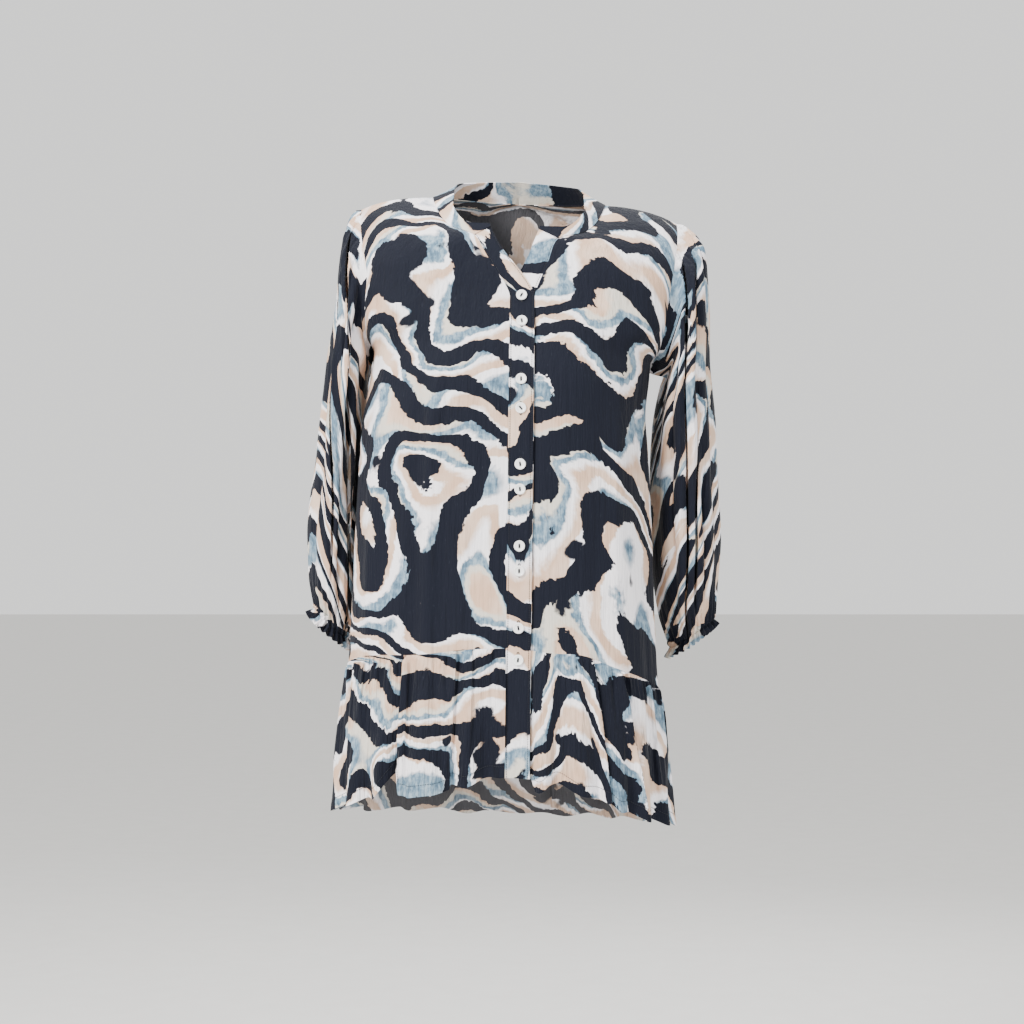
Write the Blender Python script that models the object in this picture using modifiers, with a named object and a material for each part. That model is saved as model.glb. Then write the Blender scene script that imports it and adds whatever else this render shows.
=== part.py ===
"""Worn blouse: two fronts, back, band collar, button bands, full sleeves, elastic cuffs and a ruffle.

Metres, +Z up, the wearer faces -Y and the wearer's left is +X. The origin is the middle of the neck
opening at the height of the shoulders, where the garment is carried.
"""

import math
from collections import namedtuple

import bpy
import numpy as np
from mathutils import Vector
from mathutils.bvhtree import BVHTree

# Driving sizes
WALL = 0.0012
SEAM_GAP = 0.0003
PLACKET_WIDTH = 0.0286
HALF_PLACKET = PLACKET_WIDTH / 2
FREE_X = 0.0006 - HALF_PLACKET
LAP = 0.0017
BUTTON_DIAMETER = 0.0127
BUTTON_THICKNESS = 0.0024
SLEEVE_CLEARANCE = 0.0045

# Mesh densities
FRONT_COLUMNS = 11
BACK_COLUMNS = 10
RUFFLE_FRONT_COLUMNS = 44
RUFFLE_BACK_COLUMNS = 42
BAND_COLUMNS = 3
SLEEVE_ROWS = 11
SEAM_SPLIT = 2
CUFF_ROWS = 2
COLLAR_ROWS = 3
BUTTON_STEPS = 14
MERGE = 0.00001

# Where buttons rest: each step of the band's mesh is read in this many parts, out to this distance
SEAT_SPLIT = 8
SEAT_REACH = 0.010

# Walls at the seams: how near another piece counts as sewn on, points read along each border edge, and
# the least divisor of a mitre
SEAM_REACH = 0.002
SEAM_SAMPLES = 6
MITRE_LIMIT = 0.6
SHARP_ANGLE = math.radians(60)

RIGHT = -1
LEFT = 1
FRONT = -1

# The outer face of one piece of cloth, wound to face out
Surface = namedtuple("Surface", "name kind vertices faces")

# Half of the body as one surface that runs from the front hem up over the shoulder and down to the back
# hem. Each row is a curve from an inner point (button band, neckline or centre back) to an outer point
# (side seam or armhole), pulled towards a corner point. "pull" is 0.7 for an ellipse, more for a squarer
# section.
BodyRow = namedtuple("BodyRow", "in_x in_y in_z out_x out_y out_z corner_x corner_y corner_z pull")
BODY_ROWS = [
    BodyRow(0.0143, -0.150, -0.684, 0.1990, -0.025, -0.7440, 0.196, -0.160, -0.720, 0.90),
    BodyRow(0.0143, -0.140, -0.539, 0.1840, -0.025, -0.5800, 0.184, -0.146, -0.552, 0.90),
    BodyRow(0.0143, -0.139, -0.460, 0.1800, -0.025, -0.4780, 0.180, -0.146, -0.465, 0.90),
    BodyRow(0.0143, -0.139, -0.375, 0.1760, -0.022, -0.3850, 0.177, -0.147, -0.378, 0.90),
    BodyRow(0.0143, -0.139, -0.295, 0.1710, -0.018, -0.3000, 0.173, -0.151, -0.296, 0.90),
    BodyRow(0.0143, -0.136, -0.240, 0.1670, -0.006, -0.2480, 0.169, -0.152, -0.240, 0.88),
    BodyRow(0.0143, -0.127, -0.195, 0.1660, -0.006, -0.2050, 0.168, -0.144, -0.196, 0.85),
    BodyRow(0.0143, -0.1165, -0.162, 0.1735, -0.046, -0.1820, 0.168, -0.134, -0.166, 0.85),
    BodyRow(0.0143, -0.108, -0.136, 0.1760, -0.066, -0.1500, 0.160, -0.124, -0.140, 0.85),
    BodyRow(0.0340, -0.096, -0.092, 0.1775, -0.067, -0.1150, 0.150, -0.112, -0.098, 0.85),
    BodyRow(0.0490, -0.085, -0.063, 0.1820, -0.059, -0.0880, 0.138, -0.097, -0.072, 0.85),
    BodyRow(0.0780, -0.067, -0.052, 0.1870, -0.038, -0.0590, 0.145, -0.070, -0.048, 0.85),
    BodyRow(0.0925, -0.043, -0.036, 0.1890, -0.013, -0.0370, 0.150, -0.036, -0.025, 0.85),
    BodyRow(0.1030, 0.005, -0.010, 0.1890, 0.010, -0.0275, 0.155, 0.007, -0.009, 0.85),
    BodyRow(0.0880, 0.040, -0.005, 0.1880, 0.030, -0.0360, 0.142, 0.046, -0.010, 0.85),
    BodyRow(0.0520, 0.068, -0.003, 0.1865, 0.047, -0.0480, 0.130, 0.080, -0.018, 0.85),
    BodyRow(0.0000, 0.080, -0.003, 0.1840, 0.062, -0.0640, 0.112, 0.102, -0.030, 0.85),
    BodyRow(0.0000, 0.096, -0.038, 0.1790, 0.076, -0.0900, 0.110, 0.116, -0.062, 0.85),
    BodyRow(0.0000, 0.108, -0.080, 0.1740, 0.080, -0.1200, 0.110, 0.126, -0.100, 0.85),
    BodyRow(0.0000, 0.115, -0.120, 0.1720, 0.070, -0.1500, 0.130, 0.128, -0.135, 0.85),
    BodyRow(0.0000, 0.117, -0.160, 0.1735, 0.040, -0.1820, 0.158, 0.125, -0.170, 0.85),
    BodyRow(0.0000, 0.116, -0.200, 0.1660, -0.006, -0.2050, 0.166, 0.120, -0.205, 0.80),
    BodyRow(0.0000, 0.112, -0.245, 0.1670, -0.006, -0.2480, 0.170, 0.116, -0.248, 0.80),
    BodyRow(0.0000, 0.106, -0.300, 0.1710, -0.018, -0.3000, 0.174, 0.110, -0.302, 0.78),
    BodyRow(0.0000, 0.103, -0.385, 0.1760, -0.022, -0.3850, 0.178, 0.107, -0.387, 0.78),
    BodyRow(0.0000, 0.107, -0.480, 0.1800, -0.025, -0.4780, 0.182, 0.111, -0.481, 0.78),
    BodyRow(0.0000, 0.114, -0.577, 0.1840, -0.025, -0.5800, 0.186, 0.118, -0.580, 0.78),
    BodyRow(0.0000, 0.142, -0.764, 0.1990, -0.025, -0.7440, 0.202, 0.146, -0.762, 0.80),
]
HEM_FRONT = 0
WAIST_FRONT = 1
UNDERARM_FRONT = 6
COLLAR_CORNER = 10
SHOULDER = 13
NAPE = 16
UNDERARM_BACK = 21
WAIST_BACK = 26
HEM_BACK = 27

# Mesh rows on each stretch of the body table. Pieces that meet on a stretch share these rows.
Stretch = namedtuple("Stretch", "first last steps")
STRETCHES = [
    Stretch(HEM_FRONT, WAIST_FRONT, 5),
    Stretch(WAIST_FRONT, UNDERARM_FRONT, 8),
    Stretch(UNDERARM_FRONT, COLLAR_CORNER, 8),
    Stretch(COLLAR_CORNER, SHOULDER, 5),
    Stretch(SHOULDER, NAPE, 6),
    Stretch(NAPE, UNDERARM_BACK, 8),
    Stretch(UNDERARM_BACK, WAIST_BACK, 8),
    Stretch(WAIST_BACK, HEM_BACK, 5),
]

# How the worn garment departs from its symmetric cut, by height: "lean" moves both sides towards the
# wearer's right, "tilt" lowers the left, and "drift" moves the middle of the front.
PoseRow = namedtuple("PoseRow", "height lean tilt drift")
POSE_ROWS = [
    PoseRow(-0.770, 0.108, 0.035, -0.0025),
    PoseRow(-0.660, 0.110, 0.060, -0.0021),
    PoseRow(-0.560, 0.125, 0.083, -0.0010),
    PoseRow(-0.450, 0.128, 0.075, 0.0005),
    PoseRow(-0.280, 0.128, 0.055, 0.0022),
    PoseRow(-0.200, 0.060, 0.045, 0.0030),
    PoseRow(-0.136, 0.020, 0.045, 0.0036),
    PoseRow(-0.108, 0.000, 0.045, 0.0014),
    PoseRow(-0.053, 0.000, 0.045, -0.0060),
    PoseRow(-0.010, 0.000, 0.045, 0.0000),
    PoseRow(0.050, 0.000, 0.045, 0.0000),
]
LEAN_START = 0.03
DRIFT_REACH = 0.07

# Places of the front where the cloth hangs lower (drop above 0) or is held higher on the wearer.
Sag = namedtuple("Sag", "at_x at_z width height drop")
SAGS = [
    Sag(-0.105, -0.620, 0.040, 0.110, 0.0075),
    Sag(0.080, -0.560, 0.032, 0.070, -0.0060),
    Sag(0.150, -0.710, 0.045, 0.070, 0.0080),
]
SAG_DEPTH = 0.06

# The arms press the sides of the body in: how far, where along the body's depth and over what reach, and
# between which heights the press sets in and ends.
ArmPress = namedtuple("ArmPress", "depth at_y reach side_x top_start top_full low_full low_end")
ARM_PRESS = ArmPress(0.014, 0.030, 0.050, 0.170, -0.150, -0.270, -0.480, -0.620)

# Free edge of the button bands, one row for each body row from the hem to the collar corner. Positive x is
# the band's own side of the garment.
BandRow = namedtuple("BandRow", "free_x free_y free_z")
BAND_TABLE = [
    BandRow(FREE_X, -0.150, -0.684),
    BandRow(FREE_X, -0.140, -0.539),
    BandRow(FREE_X, -0.139, -0.460),
    BandRow(FREE_X, -0.139, -0.375),
    BandRow(FREE_X, -0.139, -0.295),
    BandRow(FREE_X, -0.136, -0.240),
    BandRow(FREE_X, -0.127, -0.195),
    BandRow(FREE_X, -0.1165, -0.162),
    BandRow(FREE_X, -0.107, -0.133),
    BandRow(0.0155, -0.092, -0.080),
    BandRow(0.0284, -0.081, -0.0525),
]

# Upper edge of the collar, from its front tip to the centre back, above the neckline points of the body.
CollarRow = namedtuple("CollarRow", "top_x top_y top_z")
COLLAR_TABLE = [
    CollarRow(0.0285, -0.0795, -0.0490),
    CollarRow(0.0535, -0.0770, -0.0485),
    CollarRow(0.0735, -0.0570, -0.0320),
    CollarRow(0.0775, -0.0380, -0.0210),
    CollarRow(0.0775, 0.0080, 0.0020),
    CollarRow(0.0720, 0.0340, 0.0120),
    CollarRow(0.0450, 0.0540, 0.0180),
    CollarRow(0.0000, 0.0620, 0.0220),
]

# Sleeve sections below the armhole: outer and inner points of each tilted ellipse, and its depth.
SleeveRow = namedtuple("SleeveRow", "along out_right out_left out_z in_right in_left in_z front_y back_y")
SLEEVE_TABLE = [
    SleeveRow(0.12, 0.2095, 0.2200, -0.058, 0.178, 0.176, -0.218, -0.074, 0.088),
    SleeveRow(0.20, 0.2165, 0.2260, -0.098, 0.181, 0.170, -0.232, -0.077, 0.094),
    SleeveRow(0.28, 0.2195, 0.2295, -0.140, 0.182, 0.164, -0.255, -0.076, 0.097),
    SleeveRow(0.38, 0.2300, 0.2300, -0.190, 0.184, 0.160, -0.285, -0.073, 0.098),
    SleeveRow(0.50, 0.2375, 0.2360, -0.260, 0.185, 0.158, -0.330, -0.068, 0.098),
    SleeveRow(0.64, 0.2460, 0.2400, -0.340, 0.186, 0.158, -0.390, -0.062, 0.097),
    SleeveRow(0.78, 0.2550, 0.2440, -0.410, 0.189, 0.161, -0.450, -0.054, 0.094),
    SleeveRow(0.90, 0.2535, 0.2400, -0.463, 0.196, 0.169, -0.502, -0.036, 0.079),
    SleeveRow(1.00, 0.2470, 0.2370, -0.499, 0.204, 0.181, -0.534, -0.016, 0.064),
]
CUFF_TABLE = [
    SleeveRow(0.0, 0.2470, 0.2370, -0.499, 0.204, 0.181, -0.534, -0.016, 0.064),
    SleeveRow(0.5, 0.2460, 0.2350, -0.505, 0.206, 0.183, -0.542, -0.013, 0.061),
    SleeveRow(1.0, 0.2570, 0.2415, -0.512, 0.203, 0.178, -0.555, -0.019, 0.067),
]
SLEEVE_TILT = 0.025

# How the sleeves keep clear of the body: the ratio of distance to height past which a point lies beside
# the body's edge, and how softly the push sets in.
BESIDE = 1.1
PUSH_SOFTNESS = 0.003
HEAD_LENGTH = 0.005
HEAD_ALONG = 0.012
HEAD_RISE = 0.06

# Direction in which the sleeve leaves the armhole, from the underarm over the front to the shoulder.
HeadRow = namedtuple("HeadRow", "around out_x out_y out_z")
HEAD_TABLE = [
    HeadRow(0.00, 0.55, 0.00, -0.83),
    HeadRow(0.12, 0.75, 0.20, -0.45),
    HeadRow(0.25, 0.85, 0.35, -0.05),
    HeadRow(0.40, 0.88, 0.20, -0.30),
    HeadRow(0.50, 0.89, 0.05, -0.45),
]

# Long folds in the sleeves: place around (0 under the arm, 0.25 front, 0.5 outside, 0.75 back), depth,
# half width as a fraction of the round, and where along the sleeve each one runs.
SleeveFold = namedtuple("SleeveFold", "around depth width start end")
SLEEVE_FOLDS = {
    RIGHT: [
        SleeveFold(0.100, 0.0040, 0.030, 0.10, 0.95),
        SleeveFold(0.185, 0.0085, 0.026, 0.02, 1.00),
        SleeveFold(0.290, 0.0045, 0.026, 0.02, 0.45),
        SleeveFold(0.375, 0.0065, 0.026, 0.25, 0.98),
        SleeveFold(0.470, 0.0040, 0.028, 0.03, 0.60),
        SleeveFold(0.560, 0.0050, 0.028, 0.03, 0.90),
        SleeveFold(0.650, 0.0065, 0.028, 0.02, 1.00),
        SleeveFold(0.745, 0.0055, 0.028, 0.02, 0.70),
        SleeveFold(0.840, 0.0060, 0.030, 0.20, 1.00),
        SleeveFold(0.930, 0.0040, 0.030, 0.15, 0.90),
    ],
    LEFT: [
        SleeveFold(0.080, 0.0040, 0.030, 0.12, 0.95),
        SleeveFold(0.160, 0.0055, 0.028, 0.10, 1.00),
        SleeveFold(0.245, 0.0080, 0.026, 0.02, 1.00),
        SleeveFold(0.325, 0.0065, 0.026, 0.04, 0.90),
        SleeveFold(0.410, 0.0055, 0.028, 0.30, 1.00),
        SleeveFold(0.500, 0.0040, 0.028, 0.02, 0.55),
        SleeveFold(0.590, 0.0060, 0.028, 0.02, 0.95),
        SleeveFold(0.690, 0.0060, 0.028, 0.02, 1.00),
        SleeveFold(0.790, 0.0050, 0.030, 0.10, 0.80),
        SleeveFold(0.890, 0.0050, 0.030, 0.20, 1.00),
    ],
}
FOLD_FADE = 0.12
FOLD_RELEASE = 0.25
WRIST_GATHER = 0.0007
WRIST_GATHER_START = 0.86

# Soft upright folds of the body: place across the half body (0 at the middle, 1 at the side), height of
# the ridge, its half width, and the body rows it runs between.
BodyFold = namedtuple("BodyFold", "side across ridge width first_row last_row")
BODY_FOLDS = [
    BodyFold(RIGHT, 0.300, 0.0040, 0.035, 0.0, 5.5),
    BodyFold(RIGHT, 0.370, -0.0035, 0.035, 0.0, 5.5),
    BodyFold(RIGHT, 0.620, 0.0025, 0.060, 0.5, 6.0),
    BodyFold(LEFT, 0.450, 0.0022, 0.060, 0.5, 5.0),
    BodyFold(LEFT, 0.700, -0.0025, 0.050, 0.5, 6.0),
    BodyFold(LEFT, 0.850, 0.0025, 0.050, 0.5, 6.5),
    BodyFold(RIGHT, 0.280, 0.0035, 0.060, 21.0, 27.0),
    BodyFold(LEFT, 0.330, 0.0035, 0.060, 20.5, 27.0),
    BodyFold(RIGHT, 0.560, -0.0030, 0.060, 20.0, 27.0),
    BodyFold(LEFT, 0.600, -0.0030, 0.060, 21.0, 27.0),
    BodyFold(RIGHT, 0.820, 0.0030, 0.050, 22.0, 27.0),
    BodyFold(LEFT, 0.860, 0.0025, 0.050, 22.0, 27.0),
]
BODY_FOLD_FADE = 1.2

# Ruffle waves at the hem: place across each piece and how far the cloth stands out (+) or in (-).
RuffleWave = namedtuple("RuffleWave", "across out")
RUFFLE_FRONT_WAVES = {
    RIGHT: [
        RuffleWave(0.00, 0.000), RuffleWave(0.06, -0.006), RuffleWave(0.13, 0.007),
        RuffleWave(0.19, -0.007), RuffleWave(0.26, 0.004), RuffleWave(0.33, 0.006),
        RuffleWave(0.42, -0.007), RuffleWave(0.49, 0.008), RuffleWave(0.57, -0.007),
        RuffleWave(0.66, 0.007), RuffleWave(0.76, -0.005), RuffleWave(0.88, 0.007),
        RuffleWave(1.00, 0.003),
    ],
    LEFT: [
        RuffleWave(0.00, 0.000), RuffleWave(0.05, 0.007), RuffleWave(0.11, -0.007),
        RuffleWave(0.20, 0.006), RuffleWave(0.29, -0.004), RuffleWave(0.38, 0.006),
        RuffleWave(0.46, -0.006), RuffleWave(0.55, 0.007), RuffleWave(0.65, -0.007),
        RuffleWave(0.75, 0.007), RuffleWave(0.85, -0.006), RuffleWave(0.93, 0.006),
        RuffleWave(1.00, 0.003),
    ],
}
RUFFLE_BACK_WAVES = {
    RIGHT: [
        RuffleWave(0.000, 0.0030), RuffleWave(0.118, -0.0069), RuffleWave(0.189, 0.0093),
        RuffleWave(0.299, -0.0076), RuffleWave(0.413, 0.0056), RuffleWave(0.482, -0.0079),
        RuffleWave(0.613, 0.0093), RuffleWave(0.698, -0.0066), RuffleWave(0.789, 0.0060),
        RuffleWave(0.918, -0.0088), RuffleWave(1.000, 0.0030),
    ],
    LEFT: [
        RuffleWave(0.000, 0.0030), RuffleWave(0.095, -0.0065), RuffleWave(0.192, 0.0061),
        RuffleWave(0.317, -0.0089), RuffleWave(0.383, 0.0086), RuffleWave(0.508, -0.0059),
        RuffleWave(0.605, 0.0068), RuffleWave(0.684, -0.0093), RuffleWave(0.818, 0.0077),
        RuffleWave(0.890, -0.0056), RuffleWave(1.000, 0.0030),
    ],
}
WAVE_GROWTH = 1.3
WAVE_DROP = 0.45
GATHER_DEPTH = 0.0013
GATHER_START = 0.15
GATHER_END = 0.60
RUFFLE_BILLOW = 0.003
HELD_EDGE = 0.05

# Section of a button from the middle of its face over the rim to the middle of its underside, as shares
# of its radius and thickness.
ButtonPoint = namedtuple("ButtonPoint", "out up")
BUTTON_SECTION = [
    ButtonPoint(0.00, 0.70),
    ButtonPoint(0.66, 0.70),
    ButtonPoint(0.78, 1.00),
    ButtonPoint(0.92, 0.96),
    ButtonPoint(1.00, 0.60),
    ButtonPoint(0.90, 0.00),
    ButtonPoint(0.00, 0.00),
]

# Buttons sit in pairs: height of the upper one and the distance down to its partner.
ButtonPair = namedtuple("ButtonPair", "top_z spacing")
BUTTON_PAIRS = [
    ButtonPair(-0.1337, 0.0303),
    ButtonPair(-0.2313, 0.0332),
    ButtonPair(-0.3283, 0.0284),
    ButtonPair(-0.4214, 0.0284),
    ButtonPair(-0.5146, 0.0363),
]

Finish = namedtuple("Finish", "color roughness")
FINISHES = {
    "front": Finish((0.075, 0.090, 0.140), 0.85),
    "back": Finish((0.060, 0.075, 0.125), 0.85),
    "sleeve": Finish((0.210, 0.290, 0.370), 0.85),
    "ruffle": Finish((0.640, 0.500, 0.400), 0.85),
    "collar": Finish((0.080, 0.095, 0.150), 0.85),
    "band": Finish((0.045, 0.055, 0.095), 0.85),
    "cuff": Finish((0.800, 0.780, 0.780), 0.85),
    "button": Finish((0.900, 0.890, 0.870), 0.25),
}


def smooth(knots, rows, at):
    """Monotone cubic through the rows, read at the places given on the same scale as the knots."""
    knots = np.asarray(knots, float)
    rows = np.asarray(rows, float).reshape(len(knots), -1)
    at = np.clip(np.asarray(at, float), knots[0], knots[-1])
    gap = np.diff(knots)[:, None]
    rate = np.diff(rows, axis=0) / gap
    tangent = np.zeros_like(rows)
    tangent[0] = rate[0]
    tangent[-1] = rate[-1]
    same_way = rate[:-1] * rate[1:] > 0
    before = np.where(same_way, rate[:-1], 1.0)
    after = np.where(same_way, rate[1:], 1.0)
    weight_a = 2 * gap[1:] + gap[:-1]
    weight_b = gap[1:] + 2 * gap[:-1]
    mean = (weight_a + weight_b) / (weight_a / before + weight_b / after)
    tangent[1:-1] = np.where(same_way, mean, 0.0)
    index = np.clip(np.searchsorted(knots, at, side="right") - 1, 0, len(knots) - 2)
    span = gap[index]
    t = ((at - knots[index])[:, None]) / span
    start = (1 + 2 * t) * (1 - t) ** 2 * rows[index] + t * (1 - t) ** 2 * span * tangent[index]
    finish = t ** 2 * (3 - 2 * t) * rows[index + 1] + t ** 2 * (t - 1) * span * tangent[index + 1]
    return start + finish


def ease(value, low, high):
    """0 below low, 1 above high, smooth between."""
    t = np.clip((value - low) / (high - low), 0.0, 1.0)
    return t * t * (3 - 2 * t)


def places(first, last):
    """Row places of the body table that meshes use from one named row to another."""
    legs = [np.linspace(leg.first, leg.last, leg.steps + 1)[1:]
            for leg in STRETCHES if first <= leg.first and leg.last <= last]
    return np.concatenate([[first]] + legs)


def worn(points):
    """Move points of the symmetric cut to where they lie on the wearer."""
    x, y, z = points[..., 0], points[..., 1], points[..., 2]
    pose = smooth([row.height for row in POSE_ROWS], [row[1:] for row in POSE_ROWS], z.ravel())
    lean, tilt, drift = (pose[:, i].reshape(x.shape) for i in range(3))
    middle = np.exp(-(x / DRIFT_REACH) ** 2) * (y < 0)
    moved_x = x - lean * (np.hypot(x, LEAN_START) - LEAN_START) + drift * middle
    drop = sum(sag.drop * np.exp(-((x - sag.at_x) / sag.width) ** 2 - ((z - sag.at_z) / sag.height) ** 2)
               for sag in SAGS)
    drop = drop * np.clip(-y / SAG_DEPTH, 0, 1)
    press = ARM_PRESS.depth * np.exp(-((y - ARM_PRESS.at_y) / ARM_PRESS.reach) ** 2)
    press = press * (1 - ease(z, ARM_PRESS.top_full, ARM_PRESS.top_start))
    press = press * ease(z, ARM_PRESS.low_end, ARM_PRESS.low_full) * (x / ARM_PRESS.side_x) ** 4
    return np.stack([moved_x - np.sign(x) * press, y, z - tilt * x - drop], axis=-1)


def normals(grid, side, closed=False):
    """Unit outward normals of a grid whose rows run up the front or down the back."""
    if closed:
        padded = np.concatenate([grid[:, -1:], grid, grid[:, :1]], axis=1)
        along_columns = (padded[:, 2:] - padded[:, :-2]) / 2
    else:
        along_columns = np.gradient(grid, axis=1)
    along_rows = np.gradient(grid, axis=0)
    normal = np.cross(along_columns, along_rows) * side
    length = np.linalg.norm(normal, axis=2, keepdims=True)
    return normal / np.maximum(length, 1e-9)


def body_points(row_at, across, side):
    """Grid of points on one half of the body, with its soft upright folds."""
    table = smooth(range(len(BODY_ROWS)), BODY_ROWS, row_at)
    inner = table[:, None, 0:3]
    outer = table[:, None, 3:6]
    corner = table[:, None, 6:9]
    pull = table[:, None, 9:10]
    t = np.asarray(across)[None, :, None]
    weight_in = (1 - t) ** 2
    weight_corner = 2 * pull * t * (1 - t)
    weight_out = t ** 2
    grid = (weight_in * inner + weight_corner * corner + weight_out * outer)
    grid = grid / (weight_in + weight_corner + weight_out)
    grid = grid * np.array([side, 1, 1])
    rows = np.asarray(row_at)[:, None]
    columns = np.asarray(across)[None, :]
    rise = np.zeros((len(row_at), len(across)))
    for fold in BODY_FOLDS:
        if fold.side != side:
            continue
        profile = np.exp(-((columns - fold.across) / fold.width) ** 2)
        fade_in = ease(rows, fold.first_row, fold.first_row + BODY_FOLD_FADE)
        fade_out = 1 - ease(rows, fold.last_row - BODY_FOLD_FADE, fold.last_row)
        reach = fade_in if fold.first_row > SHOULDER else fade_out
        rise += fold.ridge * profile * reach
    if len(row_at) > 1 and len(across) > 1:
        grid = grid + normals(grid, side) * rise[..., None]
    return worn(grid)


def inset(grid, low_row=False, high_row=False, low_column=False, high_column=False):
    """Draw the chosen borders back from their seam by half the seam gap."""
    grid = grid.copy()
    borders = [
        (low_row, np.s_[0], np.s_[1]),
        (high_row, np.s_[-1], np.s_[-2]),
        (low_column, np.s_[:, 0], np.s_[:, 1]),
        (high_column, np.s_[:, -1], np.s_[:, -2]),
    ]
    for wanted, border, neighbour in borders:
        if wanted:
            step = grid[neighbour] - grid[border]
            length = np.linalg.norm(step, axis=-1, keepdims=True)
            grid[border] += step / length * (SEAM_GAP / 2)
    return grid


def material_for(kind):
    """One Principled material for each kind of piece."""
    name = "blouse_" + kind
    material = bpy.data.materials.get(name)
    if material:
        return material
    finish = FINISHES[kind]
    material = bpy.data.materials.new(name)
    material.use_nodes = True
    shader = material.node_tree.nodes["Principled BSDF"]
    shader.inputs["Base Color"].default_value = (*finish.color, 1)
    shader.inputs["Roughness"].default_value = finish.roughness
    shader.inputs["Metallic"].default_value = 0
    return material


def grid_faces(rows, columns, side, closed=False, first=0):
    """Quads over a grid of vertices, facing out on the given side."""
    faces = []
    last = columns if closed else columns - 1
    for r in range(rows - 1):
        for c in range(last):
            a = first + r * columns + c
            b = first + r * columns + (c + 1) % columns
            quad = (a, b, b + columns, a + columns)
            faces.append(quad if side > 0 else quad[::-1])
    return faces


def grid_surface(name, kind, grid, side, closed=False):
    """The outer face of a piece that is one grid of points."""
    rows, columns = grid.shape[:2]
    return Surface(name, kind, grid.reshape(-1, 3), grid_faces(rows, columns, side, closed))


def joined_halves(name, kind, right, left, shared_rows, side):
    """The outer face of a piece whose two half grids share their first column on the given rows."""
    rows, columns = right.shape[:2]
    vertices = list(right.reshape(-1, 3))
    faces = grid_faces(rows, columns, -side)
    index = np.arange(rows * columns).reshape(rows, columns)
    for r in range(rows):
        for c in range(columns):
            if c > 0 or not shared_rows[r]:
                index[r, c] = len(vertices)
                vertices.append(left[r, c])
    for r in range(rows - 1):
        for c in range(columns - 1):
            quad = (index[r, c], index[r, c + 1], index[r + 1, c + 1], index[r + 1, c])
            faces.append(tuple(int(i) for i in quad[::side]))
    return Surface(name, kind, np.array(vertices), faces)


def vertex_normals(surface):
    """Outward unit normals at the vertices of a surface."""
    total = np.zeros_like(surface.vertices)
    for face in surface.faces:
        a, b, c, d = surface.vertices[list(face)]
        total[list(face)] += np.cross(c - a, d - b)
    return total / np.linalg.norm(total, axis=1, keepdims=True)


def border_edges(surface):
    """Edges that belong to one face only, in that face's direction."""
    edges = {(face[i], face[(i + 1) % 4]) for face in surface.faces for i in range(4)}
    return sorted(edge for edge in edges if edge[::-1] not in edges)


def seam_samples(surface, normal):
    """Points along the border of a surface, each with its normal."""
    share = np.arange(SEAM_SAMPLES)[:, None, None] / SEAM_SAMPLES
    start, end = np.array(border_edges(surface)).T
    places = surface.vertices[start] * (1 - share) + surface.vertices[end] * share
    facing = normal[start] * (1 - share) + normal[end] * share
    return np.concatenate([places.reshape(-1, 3), facing.reshape(-1, 3)], axis=1)


def wall_directions(surface, normal, neighbours):
    """Where a wall's inner points lie from its outer ones, mitred where two pieces meet at a ridge."""
    direction = normal.copy()
    inward = np.zeros_like(normal)
    for face in surface.faces:
        corners = list(face)
        inward[corners] += surface.vertices[corners].mean(axis=0) - surface.vertices[corners]
    for vertex in {edge[0] for edge in border_edges(surface)}:
        away = np.linalg.norm(neighbours[:, :3] - surface.vertices[vertex], axis=1)
        nearest = int(np.argmin(away))
        other = neighbours[nearest, 3:]
        if away[nearest] < SEAM_REACH and inward[vertex].dot(other) < 0:
            own = normal[vertex]
            direction[vertex] = (own + other) / max(1 + own.dot(other), MITRE_LIMIT)
    return direction


def add_cloth(surfaces, collection):
    """Give every surface its wall, closed all round, as an object of its own."""
    facing = [vertex_normals(surface) for surface in surfaces]
    borders = [seam_samples(surface, normal) for surface, normal in zip(surfaces, facing)]
    for number, surface in enumerate(surfaces):
        neighbours = np.concatenate(borders[:number] + borders[number + 1:])
        direction = wall_directions(surface, facing[number], neighbours)
        inner = surface.vertices - direction * WALL
        count = len(surface.vertices)
        faces = list(surface.faces)
        faces += [tuple(i + count for i in reversed(face)) for face in surface.faces]
        faces += [(b, a, a + count, b + count) for a, b in border_edges(surface)]
        mesh = bpy.data.meshes.new(surface.name)
        mesh.from_pydata(np.concatenate([surface.vertices, inner]).tolist(), [], faces)
        mesh.materials.append(material_for(surface.kind))
        mesh.shade_smooth()
        mesh.set_sharp_from_angle(angle=SHARP_ANGLE)
        collection.objects.link(bpy.data.objects.new(surface.name, mesh))


def fronts():
    """The two bodice fronts, from the low waist seam to the shoulder seam."""
    rows = places(WAIST_FRONT, SHOULDER)
    across = np.linspace(0, 1, FRONT_COLUMNS + 1)
    pieces = []
    for side, name in ((RIGHT, "front_right"), (LEFT, "front_left")):
        grid = inset(body_points(rows, across, side), True, True, True, True)
        pieces.append(grid_surface(name, "front", grid, side))
    return pieces


def back():
    """The bodice back in one piece on the fold."""
    rows = places(SHOULDER, WAIST_BACK)
    across = np.linspace(0, 1, BACK_COLUMNS + 1)
    halves = []
    for side in (RIGHT, LEFT):
        grid = inset(body_points(rows, across, side), True, True, False, True)
        grid[rows < NAPE] = inset(grid, low_column=True)[rows < NAPE]
        grid[rows >= NAPE, 0, 0] = 0
        grid[rows == NAPE, 0, 2] -= SEAM_GAP / 2
        halves.append(grid)
    return joined_halves("back", "back", halves[0], halves[1], rows >= NAPE, LEFT)


def alternate(count):
    """+1 and -1 in turn, one for each column."""
    return np.where(np.arange(count) % 2 == 0, 1.0, -1.0)


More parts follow.
